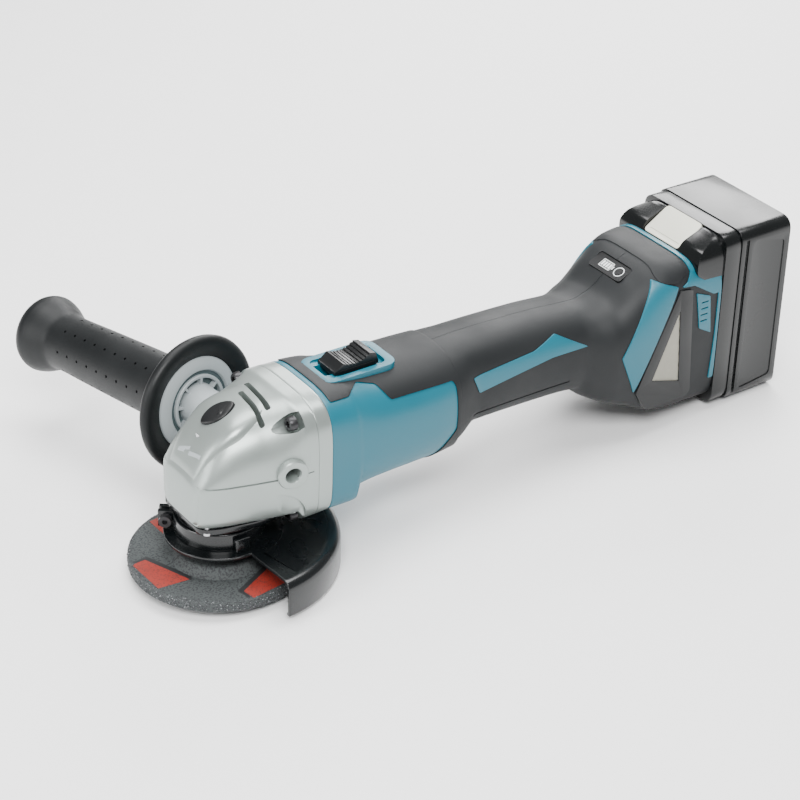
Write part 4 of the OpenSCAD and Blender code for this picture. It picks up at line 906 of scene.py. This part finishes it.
panel_marks()

# ---- Guard, bearing box and wheel ----
GUARD_R = high("wheel_guard").x / MM
GUARD_LOW = (low("wheel_guard").z - AXIS_Z) / MM
GUARD_H = 21
GUARD_TOP = GUARD_LOW + GUARD_H
COLLAR_R = 20.65
WHEEL_R = high("grinding_wheel").x / MM
WHEEL_LOW = (low("grinding_wheel").z - AXIS_Z) / MM
WHEEL_T = 6
WHEEL_TOP = WHEEL_LOW + WHEEL_T


def arc_lathe(profile, a0, a1, segments, name):
    """Turns a closed outline of (radius, height) about Z between two angles, with closed ends."""
    n = len(profile)
    verts = []
    for i in range(segments + 1):
        a = math.radians(a0 + (a1 - a0) * i / segments)
        verts += [(r * math.cos(a), r * math.sin(a), h) for r, h in profile]
    faces = [(i * n + k, (i + 1) * n + k, (i + 1) * n + (k + 1) % n, i * n + (k + 1) % n)
             for i in range(segments) for k in range(n)]
    faces += [tuple(range(n))[::-1], tuple(range(segments * n, (segments + 1) * n))]
    return make_object(name, verts, faces)


def guard():
    wall, r = 1.9, 5.5
    corner = [(GUARD_R - r + r * math.sin(math.radians(a)), GUARD_TOP - r + r * math.cos(math.radians(a)))
              for a in range(0, 91, 10)]
    inner = [(GUARD_R - r + (r - wall) * math.sin(math.radians(a)),
              GUARD_TOP - r + (r - wall) * math.cos(math.radians(a))) for a in range(90, -1, -10)]
    lip = [(GUARD_R, GUARD_LOW + 1.2), (GUARD_R - 0.4, GUARD_LOW), (GUARD_R - 2.6, GUARD_LOW),
           (GUARD_R - 2.8, GUARD_LOW + 1.4), (GUARD_R - wall, GUARD_LOW + 2)]
    profile = [(24.4, GUARD_TOP)] + corner + lip + inner + [(24.4, GUARD_TOP - wall)]
    half = arc_lathe(profile, -87, 87, 120, "wheel_guard_half")
    collar = lathe([(COLLAR_R, GUARD_TOP - wall), (30, GUARD_TOP - wall), (30, GUARD_TOP), (27, GUARD_TOP),
                    (23.2, GUARD_TOP + 1.2), (22.75, GUARD_TOP + 2.4), (22.75, -29.5), (COLLAR_R, -29.5)], 96)
    combine(half, [collar], "UNION")
    # stiffening step pressed into the top plate
    step = arc_lathe([(34, GUARD_TOP - 0.5), (58, GUARD_TOP - 0.5), (57, GUARD_TOP + 2), (35, GUARD_TOP + 2)],
                     -78, 78, 90, "step")
    combine(half, [step])
    round_edges(half, 0.55, 3, 30)
    return dress(half, GUARD, "guard", ["wheel_guard"])


def clamp():
    """Band that clamps the guard's collar, with two screw ears at the front and a stop tab."""
    bottom, top = GUARD_TOP + 1, -30.1
    band = lathe([(22.85, bottom), (24.3, bottom), (24.6, bottom + 0.5), (24.6, top - 0.5), (24.3, top),
                  (22.85, top)], 96)
    turn = Matrix.Rotation(math.radians(142), 4, "Z")
    combine(band, [move(block(23, 32.4, -3.7, 3.7, bottom + 0.2, top - 0.2), turn)], "UNION")
    combine(band, [move(block(22, 40, -1.2, 1.2, bottom - 5, top + 5), turn)])
    round_edges(band, 0.5, 2, 30)
    tab = move(prism(rounded([(-4, -6), (4, -6), (4.6, 4), (-4.6, 4)], 1.6), 2.2), place(0, 0, 0, (90, 0, 0)))
    move(tab, Matrix.Translation((-1.6, -25.0, -36.2)))
    round_edges(tab, 0.5, 2, 30)
    combine(band, [tab], "UNION")
    return dress(band, GUARD, "guard", ["guard_clamp_band"])


def bearing_flange():
    flange = lathe([(17.6, -41.9), (20.2, -41.9), (20.5, -41.5), (20.5, -28.5), (22.6, -28.5),
                    (22.6, BASE), (21.7, BASE),
                    (21.7, -14.7), (16, -14.7), (16, -24.5), (7.2, -24.5), (7.2, -33), (17.6, -33)], 96,
                   "bearing_box_flange")
    plan = [(-22.6, -18), (-13, -23), (10, -27), (24, -24), (24, 24), (10, 27), (-13, 23), (-22.6, 18)]
    plate = prism(rounded(plan, 5, 8), 3.4, Matrix.Translation((0, 0, -28.5)))
    combine(plate, [cylinder(21, 10, Matrix.Translation((0, 0, -32)), 96)])
    combine(flange, [plate], "UNION")
    round_edges(flange, 0.5, 2, 35)
    return dress(flange, GUARD, "tool", ["bearing_box"])


def wheel():
    rng = np.random.default_rng(7)
    rim = WHEEL_R - 0.7
    disc = lathe([(8, -56.2), (25, -56.2), (27.4, -57.2), (29.5, WHEEL_LOW + 0.2), (rim, WHEEL_LOW + 0.2),
                  (rim, WHEEL_TOP - 0.1), (28.5, WHEEL_TOP - 0.1), (26.4, -54.2), (24.6, -50.9), (23.6, -50.3),
                  (8, -50.3)], 160, "grinding_wheel_disc")
    dress(disc, DISC, "spindle", ["grinding_wheel"])
    grain_mesh = bmesh.new()
    bmesh.ops.create_icosphere(grain_mesh, subdivisions=1, radius=0.5)
    for v in grain_mesh.verts:
        v.co *= 0.75 + 0.5 * rng.random()
    mesh = bpy.data.meshes.new("grain")
    grain_mesh.to_mesh(mesh)
    grain_mesh.free()
    grain = link(bpy.data.objects.new("grain", mesh))
    count = 3400
    angles = rng.random(count) * 2 * math.pi
    around = rng.random(count)
    places = []
    for a, u in zip(angles, around):
        # round the rim: down the outside, and a little way in over both faces
        if u < 0.6:
            r, z = rim - 0.05, WHEEL_LOW + 0.6 + (u / 0.6) * 4.7
        elif u < 0.85:
            r, z = rim - 0.2 - 1.5 * ((u - 0.6) / 0.25) ** 1.5, WHEEL_TOP - 0.3
        else:
            r, z = rim - 0.2 - 1.5 * (u - 0.85) / 0.15, WHEEL_LOW + 0.6
        places.append((r * math.cos(a), r * math.sin(a), z))
    turns = rng.random((count, 3)) * 6.28
    sizes = 0.5 + 0.75 * rng.random(count) ** 2
    grit = scatter("wheel_rim_grit", grain, places, [tuple(t) for t in turns], list(sizes))
    dress(grit, GRIT, "spindle", angle=math.radians(10))
    red, black = None, None
    for turn in (0, 96, 180, 276):
        spin = Matrix.Rotation(math.radians(turn), 4, "Z") @ Matrix.Translation((0, 0, WHEEL_TOP - 0.12))
        kite = prism(rounded([(-46.5, 12.6), (-38.5, 13.2), (-27.4, -15.1), (-45.6, -13.5)], 0.6), 0.12,
                     spin, "label")
        edge = prism(rounded([(-46.2, 14.4), (-36.2, 15.6), (-25.2, -13.2), (-27.2, -16.6), (-40.6, 12)], 0.6),
                     0.06, spin, "label")
        red = kite if red is None else combine(red, [kite], "UNION")
        black = edge if black is None else combine(black, [edge], "UNION")
    red.name, black.name = "wheel_label_red", "wheel_label_black"
    dress(red, RED, "spindle")
    dress(black, INK, "spindle")


guard()
clamp()
bearing_flange()
wheel()

# ---- Side handle ----
LENGTH = 160.4
STOP_R = 39
GRIP_R = 17.5
CORE_R, CORE_Z = 27, 21


def spline_profile(points, step=1.2):
    """A smooth line through (radius, height) points, as a list."""
    table = np.array(points, float)
    reach = np.concatenate([[0], np.cumsum(np.hypot(*np.diff(table, axis=0).T))])
    at = np.linspace(0, reach[-1], int(reach[-1] / step) + 2)
    return list(zip(monotone(reach, table[:, 0], at), monotone(reach, table[:, 1], at)))


def side_grip():
    turn = side_axis(1)
    barrel = spline_profile([(STOP_R - 1.1, CORE_Z + 3.2), (GRIP_R + 10, CORE_Z + 7.4), (GRIP_R + 3.4, CORE_Z + 13),
                             (GRIP_R + 0.8, CORE_Z + 24), (GRIP_R + 0.3, CORE_Z + 50), (GRIP_R - 0.6, LENGTH - 50),
                             (GRIP_R - 1.1, LENGTH - 30), (GRIP_R - 0.8, LENGTH - 24), (GRIP_R + 1.6, LENGTH - 18),
                             (GRIP_R + 4.4, LENGTH - 11), (GRIP_R + 5.2, LENGTH - 7), (GRIP_R + 4, LENGTH - 3),
                             (GRIP_R, LENGTH - 0.8), (6, LENGTH), (0, LENGTH)])
    front = [(0, CORE_Z + 3.1), (CORE_R, CORE_Z + 3.1), (CORE_R, CORE_Z - 0.2), (CORE_R + 1, CORE_Z - 1),
             (STOP_R - 4.5, CORE_Z - 2.9), (STOP_R - 2, CORE_Z - 2.6), (STOP_R - 0.5, CORE_Z - 1.2),
             (STOP_R, CORE_Z + 0.6), (STOP_R - 0.3, CORE_Z + 2)]
    grip = lathe(front + [(r, h) for r, h in barrel], 96, "side_handle_grip_moulded", turn)
    # rows of round dimples along the barrel
    pit = cylinder(0.85, 2, Matrix.Translation((0, 0, -1)), 12)
    places, turns = [], []
    for row in range(8):
        for k in range(10):
            h = CORE_Z + 21 + k * 9.2
            radius = float(np.interp(h, [b[1] for b in barrel], [b[0] for b in barrel]))
            a = 2 * math.pi * (row + 0.25) / 8
            spot = turn @ Vector(((radius - 0.1) * math.cos(a), (radius - 0.1) * math.sin(a), h))
            places.append(tuple(spot))
            outwards = (turn.to_3x3() @ Vector((math.cos(a), math.sin(a), 0))).to_track_quat("Z", "Y").to_euler()
            turns.append(tuple(outwards))
    combine(grip, [scatter("grip_dimples", pit, places, turns)])
    return dress(grip, GRIP, "tool", ["side_handle_grip"], angle=math.radians(50))


def side_core():
    """Grey core: a flat bevelled ring, a slate groove, a spoked well and a conical neck."""
    turn = side_axis(1)
    rim = lathe([(19.4, CORE_Z + 2), (19.4, CORE_Z - 1.6), (20.2, CORE_Z - 2.6), (23.4, CORE_Z - 2.9),
                 (26.6, CORE_Z - 1.2), (27, CORE_Z - 0.4), (27, CORE_Z + 2)], 96, "side_core_rim", turn)
    dress(rim, GREY, "tool")
    channel = lathe([(16.6, CORE_Z + 2), (16.6, CORE_Z - 0.8), (19.5, CORE_Z - 0.8), (19.5, CORE_Z + 2)], 96,
                    "side_core_channel", turn)
    dress(channel, DARK_GREY, "tool")
    neck = lathe([(HOLE_R, 0.8), (9.4, 0.8), (10, 1.4), (10.7, CORE_Z - 7), (12, CORE_Z - 1), (12, CORE_Z + 2),
                  (HOLE_R, CORE_Z + 2)], 96, "side_core_neck", turn)
    hub = lathe([(15.2, CORE_Z + 2), (15.2, CORE_Z - 2.2), (15.6, CORE_Z - 2.6), (16.8, CORE_Z - 2.6),
                 (17.2, CORE_Z - 2.2), (17.2, CORE_Z + 2)], 96, "hub", turn)
    combine(neck, [hub], "UNION")
    spoke = block(11, 15.6, -0.65, 0.65, CORE_Z - 2.4, CORE_Z + 2, "spoke")
    move(spoke, turn)
    spokes = []
    for k in range(8):
        arm = link(bpy.data.objects.new("spoke", spoke.data.copy()))
        move(arm, turn @ Matrix.Rotation(math.radians(45 * k + 10), 4, "Z") @ turn.inverted())
        spokes.append(arm)
    drop(spoke)
    combine(neck, spokes, "UNION")
    round_edges(neck, 0.25, 2, 40)
    dress(neck, GREY, "tool", ["side_handle_core"])
    floor_ring = lathe([(11, CORE_Z + 1.4), (11, CORE_Z + 0.6), (16, CORE_Z + 0.6), (16, CORE_Z + 1.4)], 96,
                       "side_core_well", turn)
    dress(floor_ring, DARK_GREY, "tool")


side_grip()
side_core()

# ---- Floor, light and camera ----
# The tool stands on the guard's rim and the battery's lower edge, so the floor slopes a little
REST_X = GUARD_R
slope = math.atan2(BAT["low"] - GUARD_LOW, BAT["end"] - REST_X)
floor = make_object("floor", [(-9, -9, 0), (9, -9, 0), (9, 9, 0), (-9, 9, 0)], [(0, 1, 2, 3)])
floor.data.transform(Matrix.Translation((REST_X * MM, 0, AXIS_Z + GUARD_LOW * MM - 0.0004))
                     @ Matrix.Rotation(-slope, 4, "Y"))
PAPER = surface("studio_paper", (0.93, 0.93, 0.93), 0.8, 0, 300, 0.05, 0.05, 0.01)
floor.data.materials.append(PAPER)

world = bpy.data.worlds.new("studio")
world.use_nodes = True
world.node_tree.nodes["Background"].inputs["Color"].default_value = (1, 1, 1, 1)
world.node_tree.nodes["Background"].inputs["Strength"].default_value = 0.4
bpy.context.scene.world = world


def softbox(name, at, aim, width, height, watts):
    lamp = bpy.data.lights.new(name, "AREA")
    lamp.shape, lamp.size, lamp.size_y, lamp.energy = "RECTANGLE", width, height, watts
    obj = link(bpy.data.objects.new(name, lamp))
    obj.location = at
    obj.rotation_euler = (Vector(aim) - Vector(at)).to_track_quat("-Z", "Y").to_euler()


MIDDLE = (0.15, 0, 0.05)
softbox("key", (-0.5, -0.9, 1.3), MIDDLE, 0.9, 0.6, 36)
softbox("top", (0.3, 0.2, 1.4), MIDDLE, 1.4, 0.8, 38)
softbox("rim", (0.9, 0.8, 0.7), MIDDLE, 0.7, 0.5, 14)
softbox("front", (-1.1, 0.1, 0.5), MIDDLE, 0.5, 0.7, 10)

# Viewing angle: turned about Z, raised above the horizon, and rolled a little
TURN, RAISED, ROLL = (math.radians(a) for a in (-35.45, 30.81, 1.71))
EYE = Vector((-0.54242, -0.92458, 0.73952))
back = Vector((math.sin(TURN) * math.cos(RAISED), -math.cos(TURN) * math.cos(RAISED), math.sin(RAISED)))
right = Vector((math.cos(TURN), math.sin(TURN), 0))
up = back.cross(right)
tilted_right = math.cos(ROLL) * right + math.sin(ROLL) * up
tilted_up = -math.sin(ROLL) * right + math.cos(ROLL) * up
lens = bpy.data.cameras.new("camera")
lens.sensor_width, lens.lens = 36, 108.3
lens.dof.use_dof = False
camera = link(bpy.data.objects.new("camera", lens))
camera.matrix_world = Matrix.Translation(EYE) @ Matrix((tilted_right, tilted_up, back)).transposed().to_4x4()
bpy.context.scene.camera = camera
